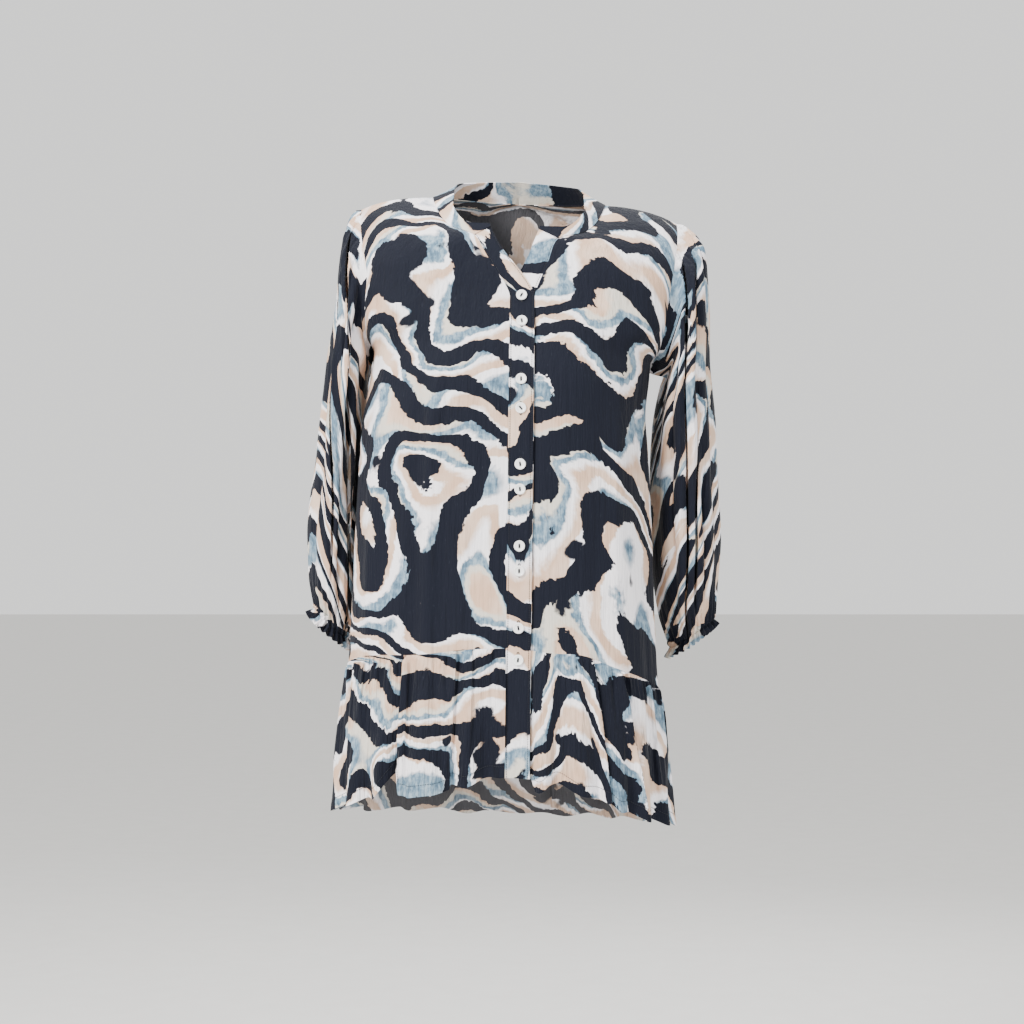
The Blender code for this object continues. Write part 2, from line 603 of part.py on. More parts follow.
def ruffle_points(rows, down, columns, panel_columns, side, waves):
    """Half a ruffle piece: its waves grow towards the hem and its fine gathers fade below the seam."""
    across = np.linspace(0, 1, columns + 1)
    grid = body_points(rows, across, side)
    seam = int(np.argmin(down))
    panel = np.linspace(0, 1, panel_columns + 1)
    panel_edge = body_points(rows, panel, side)[seam]
    grid[seam] = np.stack([np.interp(across, panel, value) for value in panel_edge.T], axis=1)
    normal = normals(grid, side)
    normal[..., 2] = 0
    normal /= np.linalg.norm(normal, axis=2, keepdims=True)
    held = ease(across, 0.0, HELD_EDGE)
    wave = smooth([w.across for w in waves], [w.out for w in waves], across)[:, 0] * held
    wave = np.outer(down ** WAVE_GROWTH, wave)
    gathers = GATHER_DEPTH * alternate(len(across)) * held * (1 - ease(across, 1 - HELD_EDGE, 1.0))
    fade = 1 - ease(down, GATHER_START, GATHER_END)
    out = wave + np.outer(fade, gathers) + RUFFLE_BILLOW * np.sin(np.pi * down)[:, None]
    grid = grid + normal * out[..., None]
    grid[..., 2] -= wave * WAVE_DROP
    return grid


def ruffles():
    """The gathered ruffle below the low waist seam, in two fronts and a back."""
    rows = places(HEM_FRONT, WAIST_FRONT)
    pieces = []
    for side, name in ((RIGHT, "ruffle_front_right"), (LEFT, "ruffle_front_left")):
        grid = ruffle_points(rows, WAIST_FRONT - rows, RUFFLE_FRONT_COLUMNS, FRONT_COLUMNS, side,
                             RUFFLE_FRONT_WAVES[side])
        grid = inset(grid, high_row=True, low_column=True, high_column=True)
        pieces.append(grid_surface(name, "ruffle", grid, side))
    rows = places(WAIST_BACK, HEM_BACK)
    halves = []
    for side in (RIGHT, LEFT):
        grid = ruffle_points(rows, rows - WAIST_BACK, RUFFLE_BACK_COLUMNS, BACK_COLUMNS, side,
                             RUFFLE_BACK_WAVES[side])
        halves.append(inset(grid, low_row=True, high_column=True))
    middle = (halves[0][:, 0] + halves[1][:, 0]) / 2
    middle[:, 0] = 0
    halves[0][:, 0] = middle
    pieces.append(joined_halves("ruffle_back", "ruffle", halves[0], halves[1], [True] * len(rows), LEFT))
    return pieces


def band_points(rows, across, side, lift):
    """Grid of a button band; lift is how far its free edge stands out from its sewn edge."""
    share = np.asarray(across)[None, :, None]
    seam = body_points(rows, [0.0, 0.01], side)[:, :1]
    free = smooth(range(len(BAND_TABLE)), BAND_TABLE, rows)[:, None]
    free[..., 1] += FRONT * lift
    return seam * (1 - share) + worn(free * np.array([side, 1, 1])) * share


def bands():
    """The right band laps over the left one down to the hem."""
    rows = places(HEM_FRONT, COLLAR_CORNER)
    across = np.linspace(0, 1, BAND_COLUMNS + 1)
    pieces = []
    for side, name in ((RIGHT, "band_over"), (LEFT, "band_under")):
        grid = inset(band_points(rows, across, side, LAP * -side), high_row=True, low_column=True)
        pieces.append(grid_surface(name, "band", grid, -side))
    return pieces


def collar_half(side):
    """Grid of half the collar, from its front tip along the band and the neckline to the centre back."""
    rows = places(COLLAR_CORNER, NAPE)
    across = np.linspace(1, 0, BAND_COLUMNS + 1)
    front = band_points([COLLAR_CORNER - 0.01, COLLAR_CORNER], across, side, LAP * -side)[1]
    low = np.concatenate([front, body_points(rows, [0.0, 0.01], side)[1:, 0]])
    table_rows = np.concatenate([1 - across, rows - COLLAR_CORNER + 1])
    table_rows = np.delete(table_rows, BAND_COLUMNS)
    high = worn(smooth(range(len(COLLAR_TABLE)), COLLAR_TABLE, table_rows) * np.array([side, 1, 1]))
    high[:, 1] += FRONT * LAP * -side * np.clip(1 - table_rows, 0, 1)
    up = np.linspace(0, 1, COLLAR_ROWS)[None, :, None]
    return low[:, None] * (1 - up) + high[:, None] * up


def collar():
    """A narrow band collar that tapers to a point at each end."""
    right = collar_half(RIGHT)
    left = collar_half(LEFT)
    middle = right[-1:].copy()
    middle[..., 0] = 0
    grid = inset(np.concatenate([right[:-1], middle, left[:-1][::-1]]), low_column=True)
    return grid_surface("collar", "collar", grid, RIGHT)


def section_loop(row, around, side):
    """One tilted ellipse of a sleeve or cuff."""
    out_x = row.out_right if side == RIGHT else row.out_left
    in_x = row.in_right if side == RIGHT else row.in_left
    angle = 2 * np.pi * np.asarray(around)
    toward_in = (1 + np.cos(angle)) / 2
    x = (out_x + (in_x - out_x) * toward_in) * side
    z = row.out_z + (row.in_z - row.out_z) * toward_in - SLEEVE_TILT * x
    y = (row.front_y + row.back_y) / 2 - (row.back_y - row.front_y) / 2 * np.sin(angle)
    return np.stack([x, y, z], axis=-1)


def armhole_rows():
    """Body rows around the armhole, with each step of the fronts and back split for the sleeve."""
    rows = places(UNDERARM_FRONT, UNDERARM_BACK)
    count = (len(rows) - 1) * SEAM_SPLIT
    return np.interp(np.arange(count) / SEAM_SPLIT, np.arange(len(rows)), rows)


def around_of(rows):
    """Share of the way round the armhole: 0 under the arm, 0.5 at the shoulder."""
    return np.interp(rows, [UNDERARM_FRONT, SHOULDER, UNDERARM_BACK], [0, 0.5, 1])


def armhole_loop(sleeve_rows, side):
    """Points and outward normals of the armhole seam, on the straight edges of the body's mesh."""
    rows = places(UNDERARM_FRONT, UNDERARM_BACK)
    grid = body_points(rows, [0.96, 1.0], side)
    known = np.concatenate([grid[:, 1], normals(grid, side)[:, 1]], axis=1)
    read = np.stack([np.interp(sleeve_rows, rows, column) for column in known.T], axis=1)
    return read[:, :3], read[:, 3:]


def head_direction(around, facing, side):
    """Unit direction in which the sleeve leaves the armhole, never below the plane of the body there."""
    mirrored = np.where(around <= 0.5, around, 1 - around)
    direction = smooth([row.around for row in HEAD_TABLE], [row[1:] for row in HEAD_TABLE], mirrored)
    direction[:, 1] *= np.where(around <= 0.5, 1, -1)
    direction[:, 0] *= side
    rise = np.sum(direction * facing, axis=1, keepdims=True)
    direction += facing * np.maximum(0, HEAD_RISE - rise)
    return direction / np.linalg.norm(direction, axis=1, keepdims=True)


def body_tree():
    """Search tree of the body surface, which the sleeves keep clear of."""
    across = np.linspace(0, 1, 25)
    vertices = []
    faces = []
    for side in (RIGHT, LEFT):
        for low, high in ((HEM_FRONT, COLLAR_CORNER), (NAPE, HEM_BACK)):
            rows = np.linspace(low, high, 40)
            grid = body_points(rows, across, side)
            faces += grid_faces(len(rows), len(across), side, first=len(vertices))
            vertices += [tuple(v) for v in grid.reshape(-1, 3)]
    return BVHTree.FromPolygons(vertices, faces)


def push_clear(grid, tree, reach):
    """Move points out of the body until they stand clear of it; reach scales the clearance by row."""
    for r in range(grid.shape[0]):
        for c in range(grid.shape[1]):
            point = Vector(grid[r, c])
            place, normal, _, _ = tree.find_nearest(point)
            offset = point - place
            away = offset.dot(normal)
            if offset.length > BESIDE * abs(away):
                away = offset.length
                normal = offset.normalized()
            short = SLEEVE_CLEARANCE * reach[r] - away
            soft = 0.5 * (short + math.hypot(short, PUSH_SOFTNESS * reach[r]))
            grid[r, c] = point + normal * soft * min(1.0, reach[r] * 3)
    return grid


def sleeve_points(rows, along, side, tree):
    """Grid of a sleeve from the armhole to the wrist seam, with its long folds."""
    around = around_of(rows)
    seam, facing = armhole_loop(rows, side)
    head = seam + head_direction(around, facing, side) * HEAD_LENGTH
    start = seam + (head - seam) * (SEAM_GAP / 2 / HEAD_LENGTH)
    loops = [start, head] + [section_loop(row, around, side) for row in SLEEVE_TABLE]
    knots = [0.0, HEAD_ALONG] + [row.along for row in SLEEVE_TABLE]
    stacked = np.array(loops).reshape(len(knots), -1)
    grid = smooth(knots, stacked, along).reshape(len(along), len(around), 3)
    grid = push_clear(grid, tree, ease(along, 0.02, 0.14))
    depth = np.zeros(grid.shape[:2])
    for fold in SLEEVE_FOLDS[side]:
        away = np.abs(around - fold.around)
        away = np.minimum(away, 1 - away)
        begin = ease(along, fold.start, fold.start + FOLD_FADE)
        finish = 1 - ease(along, fold.end - FOLD_RELEASE, fold.end)
        depth += fold.depth * np.outer(begin * finish, np.exp(-(away / fold.width) ** 2))
    depth -= WRIST_GATHER * np.outer(ease(along, WRIST_GATHER_START, 1.0), alternate(len(around)))
    return grid - normals(grid, -side, closed=True) * depth[..., None]


def cuff_points(rows, along, side, wrist):
    """Grid of a cuff that starts on the wrist seam: gathered elastic casing, then a small frill."""
    around = around_of(rows)
    loops = [section_loop(row, around, side).ravel() for row in CUFF_TABLE]
    grid = smooth([row.along for row in CUFF_TABLE], loops, along).reshape(len(along), len(around), 3)
    out = WRIST_GATHER * np.outer(1 + ease(along, 0.4, 1.0), alternate(len(around)))
    grid = grid + normals(grid, -side, closed=True) * out[..., None]
    return grid + (wrist - grid[0]) * (1 - ease(along, 0, 1))[:, None, None]


def sleeves():
    """Full sleeves gathered at head and wrist, each with its cuff."""
    tree = body_tree()
    rows = armhole_rows()
    along = np.concatenate([[0], np.linspace(HEAD_ALONG, 1, SLEEVE_ROWS)])
    down = np.linspace(0, 1, CUFF_ROWS + 1)
    pieces = []
    for side, word in ((RIGHT, "right"), (LEFT, "left")):
        sleeve = sleeve_points(rows, along, side, tree)
        cuff = cuff_points(rows, down, side, sleeve[-1])
        sleeve = inset(sleeve, high_row=True)
        cuff = inset(cuff, low_row=True)
        pieces.append(grid_surface("sleeve_" + word, "sleeve", sleeve, -side, closed=True))
        pieces.append(grid_surface("cuff_" + word, "cuff", cuff, -side, closed=True))
    return pieces


def button_mesh():
    """Half section of a button with a raised rim, standing on z = 0."""
    points = [(p.out * BUTTON_DIAMETER / 2, 0, p.up * BUTTON_THICKNESS) for p in BUTTON_SECTION]
    edges = [(i, i + 1) for i in range(len(points) - 1)]
    mesh = bpy.data.meshes.new("button")
    mesh.from_pydata(points, edges, [])
    mesh.materials.append(material_for("button"))
    return mesh


def button_seat(height, over_band):
    """Middle of a button's underside, just clear of the over band's mesh, and the way it faces."""
    flat = over_band.mean(axis=1)
    row = int(np.searchsorted(flat[:, 2], height))
    share = (height - flat[row - 1, 2]) / (flat[row, 2] - flat[row - 1, 2])
    middle = flat[row - 1] * (1 - share) + flat[row] * share
    up = flat[row] - flat[row - 1]
    sideways = over_band[row, -1] - over_band[row, 0]
    normal = np.cross(up, sideways)
    normal *= FRONT * np.sign(normal[1]) / np.linalg.norm(normal)
    offsets = over_band - middle
    near = np.linalg.norm(offsets, axis=-1) < SEAT_REACH
    lift = max(0.0, (offsets[near] @ normal).max(initial=0)) + SEAM_GAP
    return Vector(middle + normal * lift), Vector(normal)


def add_buttons(collection):
    """Ten buttons in five pairs down the middle of the over band."""
    mesh = button_mesh()
    mesh_rows = band_points(places(HEM_FRONT, COLLAR_CORNER), np.linspace(0, 1, BAND_COLUMNS + 1), RIGHT, LAP)
    known = np.arange(len(mesh_rows))
    fine = np.linspace(0, known[-1], known[-1] * SEAT_SPLIT + 1)
    columns = [np.interp(fine, known, value) for value in mesh_rows.reshape(len(known), -1).T]
    over_band = np.stack(columns, axis=1).reshape(len(fine), -1, 3)
    heights = [pair.top_z - drop for pair in BUTTON_PAIRS for drop in (0, pair.spacing)]
    for number, height in enumerate(heights, 1):
        piece = bpy.data.objects.new(f"button_{number}", mesh)
        collection.objects.link(piece)
        turn = piece.modifiers.new("Turn", "SCREW")
        turn.steps = BUTTON_STEPS
        turn.render_steps = BUTTON_STEPS
        turn.use_merge_vertices = True
        turn.merge_threshold = MERGE
        place, normal = button_seat(height, over_band)
        piece.location = place
        piece.rotation_euler = normal.to_track_quat("Z", "Y").to_euler()


def build():
    """Empty the scene and build the blouse."""
    for old in list(bpy.data.objects):
        bpy.data.objects.remove(old, do_unlink=True)
    collection = bpy.data.collections.new("blouse")
    bpy.context.scene.collection.children.link(collection)
    add_cloth(fronts() + [back(), collar()] + bands() + ruffles() + sleeves(), collection)
    add_buttons(collection)


build()
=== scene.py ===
"""Looks of the worn blouse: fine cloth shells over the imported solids, print, stitching and buttons."""

import math
from collections import namedtuple

import bpy
import numpy as np
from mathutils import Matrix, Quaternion, Vector
from mathutils.bvhtree import BVHTree


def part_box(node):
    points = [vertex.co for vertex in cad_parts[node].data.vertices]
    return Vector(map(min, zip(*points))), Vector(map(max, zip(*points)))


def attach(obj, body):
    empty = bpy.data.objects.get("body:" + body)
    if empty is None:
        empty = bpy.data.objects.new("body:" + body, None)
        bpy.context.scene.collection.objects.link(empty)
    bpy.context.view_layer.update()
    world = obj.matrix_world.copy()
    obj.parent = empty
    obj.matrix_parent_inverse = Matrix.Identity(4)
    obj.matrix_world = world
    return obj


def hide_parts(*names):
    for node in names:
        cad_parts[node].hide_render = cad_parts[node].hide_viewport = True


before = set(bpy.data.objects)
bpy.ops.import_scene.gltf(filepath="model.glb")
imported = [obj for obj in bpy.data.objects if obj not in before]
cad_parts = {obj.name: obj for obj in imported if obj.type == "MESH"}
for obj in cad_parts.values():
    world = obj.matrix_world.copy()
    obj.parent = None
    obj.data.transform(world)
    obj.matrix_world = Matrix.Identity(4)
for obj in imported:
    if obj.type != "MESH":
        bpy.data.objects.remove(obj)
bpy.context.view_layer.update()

# Driving sizes
PLACKET_WIDTH = 0.0286
HALF_PLACKET = PLACKET_WIDTH / 2
FREE_X = 0.0006 - HALF_PLACKET
LAP = 0.0017
BUTTON_DIAMETER = 0.0127
BUTTON_THICKNESS = 0.0024
SLEEVE_CLEARANCE = 0.0045

RIGHT = -1
LEFT = 1
FRONT = -1
SIDES = ((RIGHT, "right"), (LEFT, "left"))
TINY = 1e-12


def table(columns, rows):
    """Rows whose values are read by the names of their columns."""
    row = namedtuple("Row", columns) if isinstance(columns, str) else columns
    return [row(*values) for values in rows]


def both_sides(columns, right, left):
    """A table for each side of the wearer."""
    return {RIGHT: table(columns, right), LEFT: table(columns, left)}


# Half of the body as one surface, from the front hem over the shoulder to the back hem. Each row is a curve
# from an inner point (button band, neckline or centre back) to an outer point (side seam or armhole), pulled
# towards a corner point. "pull" is 0.7 for an ellipse, more for a squarer section.
BODY_ROWS = table("in_x in_y in_z out_x out_y out_z corner_x corner_y corner_z pull", [
    (0.0143, -0.15, -0.684, 0.199, -0.025, -0.744, 0.196, -0.16, -0.72, 0.9),
    (0.0143, -0.14, -0.539, 0.184, -0.025, -0.58, 0.184, -0.146, -0.552, 0.9),
    (0.0143, -0.139, -0.46, 0.18, -0.025, -0.478, 0.18, -0.146, -0.465, 0.9),
    (0.0143, -0.139, -0.375, 0.176, -0.022, -0.385, 0.177, -0.147, -0.378, 0.9),
    (0.0143, -0.139, -0.295, 0.171, -0.018, -0.3, 0.173, -0.151, -0.296, 0.9),
    (0.0143, -0.136, -0.24, 0.167, -0.006, -0.248, 0.169, -0.152, -0.24, 0.88),
    (0.0143, -0.127, -0.195, 0.166, -0.006, -0.205, 0.168, -0.144, -0.196, 0.85),
    (0.0143, -0.1165, -0.162, 0.1735, -0.046, -0.182, 0.168, -0.134, -0.166, 0.85),
    (0.0143, -0.108, -0.136, 0.176, -0.066, -0.15, 0.16, -0.124, -0.14, 0.85),
    (0.034, -0.096, -0.092, 0.1775, -0.067, -0.115, 0.15, -0.112, -0.098, 0.85),
    (0.049, -0.085, -0.063, 0.182, -0.059, -0.088, 0.138, -0.097, -0.072, 0.85),
    (0.078, -0.067, -0.052, 0.187, -0.038, -0.059, 0.145, -0.07, -0.048, 0.85),
    (0.0925, -0.043, -0.036, 0.189, -0.013, -0.037, 0.15, -0.036, -0.025, 0.85),
    (0.103, 0.005, -0.01, 0.189, 0.01, -0.0275, 0.155, 0.007, -0.009, 0.85),
    (0.088, 0.04, -0.005, 0.188, 0.03, -0.036, 0.142, 0.046, -0.01, 0.85),
    (0.052, 0.068, -0.003, 0.1865, 0.047, -0.048, 0.13, 0.08, -0.018, 0.85),
    (0.0, 0.08, -0.003, 0.184, 0.062, -0.064, 0.112, 0.102, -0.03, 0.85),
    (0.0, 0.096, -0.038, 0.179, 0.076, -0.09, 0.11, 0.116, -0.062, 0.85),
    (0.0, 0.108, -0.08, 0.174, 0.08, -0.12, 0.11, 0.126, -0.1, 0.85),
    (0.0, 0.115, -0.12, 0.172, 0.07, -0.15, 0.13, 0.128, -0.135, 0.85),
    (0.0, 0.117, -0.16, 0.1735, 0.04, -0.182, 0.158, 0.125, -0.17, 0.85),
    (0.0, 0.116, -0.2, 0.166, -0.006, -0.205, 0.166, 0.12, -0.205, 0.8),
    (0.0, 0.112, -0.245, 0.167, -0.006, -0.248, 0.17, 0.116, -0.248, 0.8),
    (0.0, 0.106, -0.3, 0.171, -0.018, -0.3, 0.174, 0.11, -0.302, 0.78),
    (0.0, 0.103, -0.385, 0.176, -0.022, -0.385, 0.178, 0.107, -0.387, 0.78),
    (0.0, 0.107, -0.48, 0.18, -0.025, -0.478, 0.182, 0.111, -0.481, 0.78),
    (0.0, 0.114, -0.577, 0.184, -0.025, -0.58, 0.186, 0.118, -0.58, 0.78),
    (0.0, 0.142, -0.764, 0.199, -0.025, -0.744, 0.202, 0.146, -0.762, 0.8),
])
HEM_FRONT = 0
WAIST_FRONT = 1
UNDERARM_FRONT = 6
COLLAR_CORNER = 10
SHOULDER = 13
NAPE = 16
UNDERARM_BACK = 21
WAIST_BACK = 26
HEM_BACK = 27

# Mesh rows on each stretch of the body table. Pieces that meet on a stretch share these rows.
STRETCHES = table("first last steps", [
    (HEM_FRONT, WAIST_FRONT, 5), (WAIST_FRONT, UNDERARM_FRONT, 8), (UNDERARM_FRONT, COLLAR_CORNER, 8),
    (COLLAR_CORNER, SHOULDER, 5), (SHOULDER, NAPE, 6), (NAPE, UNDERARM_BACK, 8),
    (UNDERARM_BACK, WAIST_BACK, 8), (WAIST_BACK, HEM_BACK, 5),
])

# How the worn garment departs from its symmetric cut, by height: "lean" moves both sides towards the
# wearer's right, "tilt" lowers the left, and "drift" moves the middle of the front.
POSE_ROWS = table("height lean tilt drift", [
    (-0.77, 0.108, 0.035, -0.0025), (-0.66, 0.11, 0.06, -0.0021), (-0.56, 0.125, 0.083, -0.001),
    (-0.45, 0.128, 0.075, 0.0005), (-0.28, 0.128, 0.055, 0.0022), (-0.2, 0.06, 0.045, 0.003),
    (-0.136, 0.02, 0.045, 0.0036), (-0.108, 0.0, 0.045, 0.0014), (-0.053, 0.0, 0.045, -0.006),
    (-0.01, 0.0, 0.045, 0.0), (0.05, 0.0, 0.045, 0.0),
])
LEAN_START = 0.03
DRIFT_REACH = 0.07

# Places of the front where the cloth hangs lower (drop above 0) or is held higher on the wearer
SAGS = table("at_x at_z width height drop", [
    (-0.105, -0.62, 0.04, 0.11, 0.0075), (0.08, -0.56, 0.032, 0.07, -0.006),
    (0.15, -0.71, 0.045, 0.07, 0.008),
])
SAG_DEPTH = 0.06

# The arms press the sides in: how far, where along the body's depth, and between which heights
ARM_PRESS, = table("depth at_y reach side_x top_start top_full low_full low_end", [
    (0.014, 0.03, 0.05, 0.17, -0.15, -0.27, -0.48, -0.62),
])

# Free edge of the button bands, one row for each body row from the hem to the collar corner. Positive x is
# the band's own side of the garment.
BAND_TABLE = table("free_x free_y free_z", [
    (FREE_X, -0.15, -0.684), (FREE_X, -0.14, -0.539), (FREE_X, -0.139, -0.46), (FREE_X, -0.139, -0.375),
    (FREE_X, -0.139, -0.295), (FREE_X, -0.136, -0.24), (FREE_X, -0.127, -0.195), (FREE_X, -0.1165, -0.162),
    (FREE_X, -0.107, -0.133), (0.0155, -0.092, -0.08), (0.0284, -0.081, -0.0525),
])

# Upper edge of the collar, from its front tip to the centre back, above the body's neckline points
COLLAR_TABLE = table("top_x top_y top_z", [
    (0.0285, -0.0795, -0.049), (0.0535, -0.077, -0.0485), (0.0735, -0.057, -0.032),
    (0.0775, -0.038, -0.021), (0.0775, 0.008, 0.002), (0.072, 0.034, 0.012), (0.045, 0.054, 0.018),
    (0.0, 0.062, 0.022),
])

# Sleeve sections below the armhole: outer and inner points of each tilted ellipse, and its depth
SLEEVE_COLUMNS = "along out_right out_left out_z in_right in_left in_z front_y back_y"
SLEEVE_TABLE = table(SLEEVE_COLUMNS, [
    (0.12, 0.2095, 0.22, -0.058, 0.178, 0.176, -0.218, -0.074, 0.088),
    (0.2, 0.2165, 0.226, -0.098, 0.181, 0.17, -0.232, -0.077, 0.094),
    (0.28, 0.2195, 0.2295, -0.14, 0.182, 0.164, -0.255, -0.076, 0.097),
    (0.38, 0.23, 0.23, -0.19, 0.184, 0.16, -0.285, -0.073, 0.098),
    (0.5, 0.2375, 0.236, -0.26, 0.185, 0.158, -0.33, -0.068, 0.098),
    (0.64, 0.246, 0.24, -0.34, 0.186, 0.158, -0.39, -0.062, 0.097),
    (0.78, 0.255, 0.244, -0.41, 0.189, 0.161, -0.45, -0.054, 0.094),
    (0.9, 0.2535, 0.24, -0.463, 0.196, 0.169, -0.502, -0.036, 0.079),
    (1.0, 0.247, 0.237, -0.499, 0.204, 0.181, -0.534, -0.016, 0.064),
])
CUFF_TABLE = table(SLEEVE_COLUMNS, [
    (0.0, 0.247, 0.237, -0.499, 0.204, 0.181, -0.534, -0.016, 0.064),
    (0.5, 0.246, 0.235, -0.505, 0.206, 0.183, -0.542, -0.013, 0.061),
    (1.0, 0.257, 0.2415, -0.512, 0.203, 0.178, -0.555, -0.019, 0.067),
])
SLEEVE_TILT = 0.025

# How the sleeves keep clear of the body: the ratio of distance to height past which a point lies beside
# the body's edge, and how softly the push sets in
BESIDE = 1.1
PUSH_SOFTNESS = 0.003

# Head of the sleeve: how far it leaves the armhole straight, in metres and along it, and its least rise
HEAD_LENGTH = 0.005
HEAD_ALONG = 0.012
HEAD_RISE = 0.06

# Direction in which the sleeve leaves the armhole, from the underarm over the front to the shoulder
HEAD_TABLE = table("around out_x out_y out_z", [
    (0.0, 0.55, 0.0, -0.83), (0.12, 0.75, 0.2, -0.45), (0.25, 0.85, 0.35, -0.05), (0.4, 0.88, 0.2, -0.3),
    (0.5, 0.89, 0.05, -0.45),
])

# Long folds in the sleeves: place around (0 under the arm, 0.25 front, 0.5 outside, 0.75 back), depth,
# half width as a fraction of the round, and where along the sleeve each one runs
FOLD_COLUMNS = "around depth width start end"
SLEEVE_FOLDS = both_sides(FOLD_COLUMNS, [
    (0.1, 0.004, 0.03, 0.1, 0.95), (0.185, 0.0085, 0.026, 0.02, 1.0), (0.29, 0.0045, 0.026, 0.02, 0.45),
    (0.375, 0.0065, 0.026, 0.25, 0.98), (0.47, 0.004, 0.028, 0.03, 0.6), (0.56, 0.005, 0.028, 0.03, 0.9),
    (0.65, 0.0065, 0.028, 0.02, 1.0), (0.745, 0.0055, 0.028, 0.02, 0.7), (0.84, 0.006, 0.03, 0.2, 1.0),
    (0.93, 0.004, 0.03, 0.15, 0.9),
], [
    (0.08, 0.004, 0.03, 0.12, 0.95), (0.16, 0.0055, 0.028, 0.1, 1.0), (0.245, 0.008, 0.026, 0.02, 1.0),
    (0.325, 0.0065, 0.026, 0.04, 0.9), (0.41, 0.0055, 0.028, 0.3, 1.0), (0.5, 0.004, 0.028, 0.02, 0.55),
    (0.59, 0.006, 0.028, 0.02, 0.95), (0.69, 0.006, 0.028, 0.02, 1.0), (0.79, 0.005, 0.03, 0.1, 0.8),
    (0.89, 0.005, 0.03, 0.2, 1.0),
])
FOLD_FADE = 0.12
FOLD_RELEASE = 0.25

# Soft upright folds of the body: place across the half body, height of the ridge, its half width, and the
# body rows it runs between
BODY_FOLDS = table("side across ridge width first_row last_row", [
    (RIGHT, 0.3, 0.004, 0.035, 0.0, 5.5), (RIGHT, 0.37, -0.0035, 0.035, 0.0, 5.5),
    (RIGHT, 0.62, 0.0025, 0.06, 0.5, 6.0), (LEFT, 0.45, 0.0022, 0.06, 0.5, 5.0),
    (LEFT, 0.7, -0.0025, 0.05, 0.5, 6.0), (LEFT, 0.85, 0.0025, 0.05, 0.5, 6.5),
    (RIGHT, 0.28, 0.0035, 0.06, 21.0, 27.0), (LEFT, 0.33, 0.0035, 0.06, 20.5, 27.0),
    (RIGHT, 0.56, -0.003, 0.06, 20.0, 27.0), (LEFT, 0.6, -0.003, 0.06, 21.0, 27.0),
    (RIGHT, 0.82, 0.003, 0.05, 22.0, 27.0), (LEFT, 0.86, 0.0025, 0.05, 22.0, 27.0),
])
BODY_FOLD_FADE = 1.2

# Ruffle waves at the hem: place across each piece and how far the cloth stands out (+) or in (-)
WAVE_COLUMNS = "across out"
RUFFLE_FRONT_WAVES = both_sides(WAVE_COLUMNS, [
    (0.0, 0.0), (0.06, -0.006), (0.13, 0.007), (0.19, -0.007), (0.26, 0.004), (0.33, 0.006), (0.42, -0.007),
    (0.49, 0.008), (0.57, -0.007), (0.66, 0.007), (0.76, -0.005), (0.88, 0.007), (1.0, 0.003),
], [
    (0.0, 0.0), (0.05, 0.007), (0.11, -0.007), (0.2, 0.006), (0.29, -0.004), (0.38, 0.006), (0.46, -0.006),
    (0.55, 0.007), (0.65, -0.007), (0.75, 0.007), (0.85, -0.006), (0.93, 0.006), (1.0, 0.003),
])
RUFFLE_BACK_WAVES = both_sides(WAVE_COLUMNS, [
    (0.0, 0.003), (0.118, -0.0069), (0.189, 0.0093), (0.299, -0.0076), (0.413, 0.0056), (0.482, -0.0079),
    (0.613, 0.0093), (0.698, -0.0066), (0.789, 0.006), (0.918, -0.0088), (1.0, 0.003),
], [
    (0.0, 0.003), (0.095, -0.0065), (0.192, 0.0061), (0.317, -0.0089), (0.383, 0.0086), (0.508, -0.0059),
    (0.605, 0.0068), (0.684, -0.0093), (0.818, 0.0077), (0.89, -0.0056), (1.0, 0.003),
])
WAVE_GROWTH = 1.3
WAVE_DROP = 0.45
RUFFLE_BILLOW = 0.003
HELD_EDGE = 0.05

# Buttons sit in pairs: height of the upper one and the distance down to its partner
BUTTON_PAIRS = table("top_z spacing", [
    (-0.1337, 0.0303), (-0.2313, 0.0332), (-0.3283, 0.0284), (-0.4214, 0.0284), (-0.5146, 0.0363),
])


def smooth(knots, rows, at):
    """Monotone cubic through the rows, read at the places given on the same scale as the knots."""
    knots = np.asarray(knots, float)
    rows = np.asarray(rows, float).reshape(len(knots), -1)
    at = np.clip(np.asarray(at, float), knots[0], knots[-1])
    gap = np.diff(knots)[:, None]
    rate = np.diff(rows, axis=0) / gap
    tangent = np.zeros_like(rows)
    tangent[0], tangent[-1] = rate[0], rate[-1]
    same_way = rate[:-1] * rate[1:] > 0
    before, after = np.where(same_way, rate[:-1], 1.0), np.where(same_way, rate[1:], 1.0)
    weight_a, weight_b = 2 * gap[1:] + gap[:-1], gap[1:] + 2 * gap[:-1]
    mean = (weight_a + weight_b) / (weight_a / before + weight_b / after)
    tangent[1:-1] = np.where(same_way, mean, 0.0)
    index = np.clip(np.searchsorted(knots, at, side="right") - 1, 0, len(knots) - 2)
    span = gap[index]
    t = ((at - knots[index])[:, None]) / span
    start = (1 + 2 * t) * (1 - t) ** 2 * rows[index] + t * (1 - t) ** 2 * span * tangent[index]
    finish = t ** 2 * (3 - 2 * t) * rows[index + 1] + t ** 2 * (t - 1) * span * tangent[index + 1]
    return start + finish


def by_row(rows, at):
    """A table's curve, read at row places."""
    return smooth(range(len(rows)), rows, at)


def by_first(rows, at):
    """The other columns of a table, read at values of its first column."""
    return smooth([row[0] for row in rows], [row[1:] for row in rows], at)


def ease(value, low, high):
    """0 below low, 1 above high, smooth between."""
    t = np.clip((value - low) / (high - low), 0.0, 1.0)
    return t * t * (3 - 2 * t)


def hump(value, start, full, fading, end):
    """0 outside start and end, 1 from full to fading."""
    return ease(value, start, full) * (1 - ease(value, fading, end))


def inside(value, reach):
    """0 at the borders 0 and 1 of a piece, 1 further in."""
    return hump(value, 0.0, reach, 1.0 - reach, 1.0)


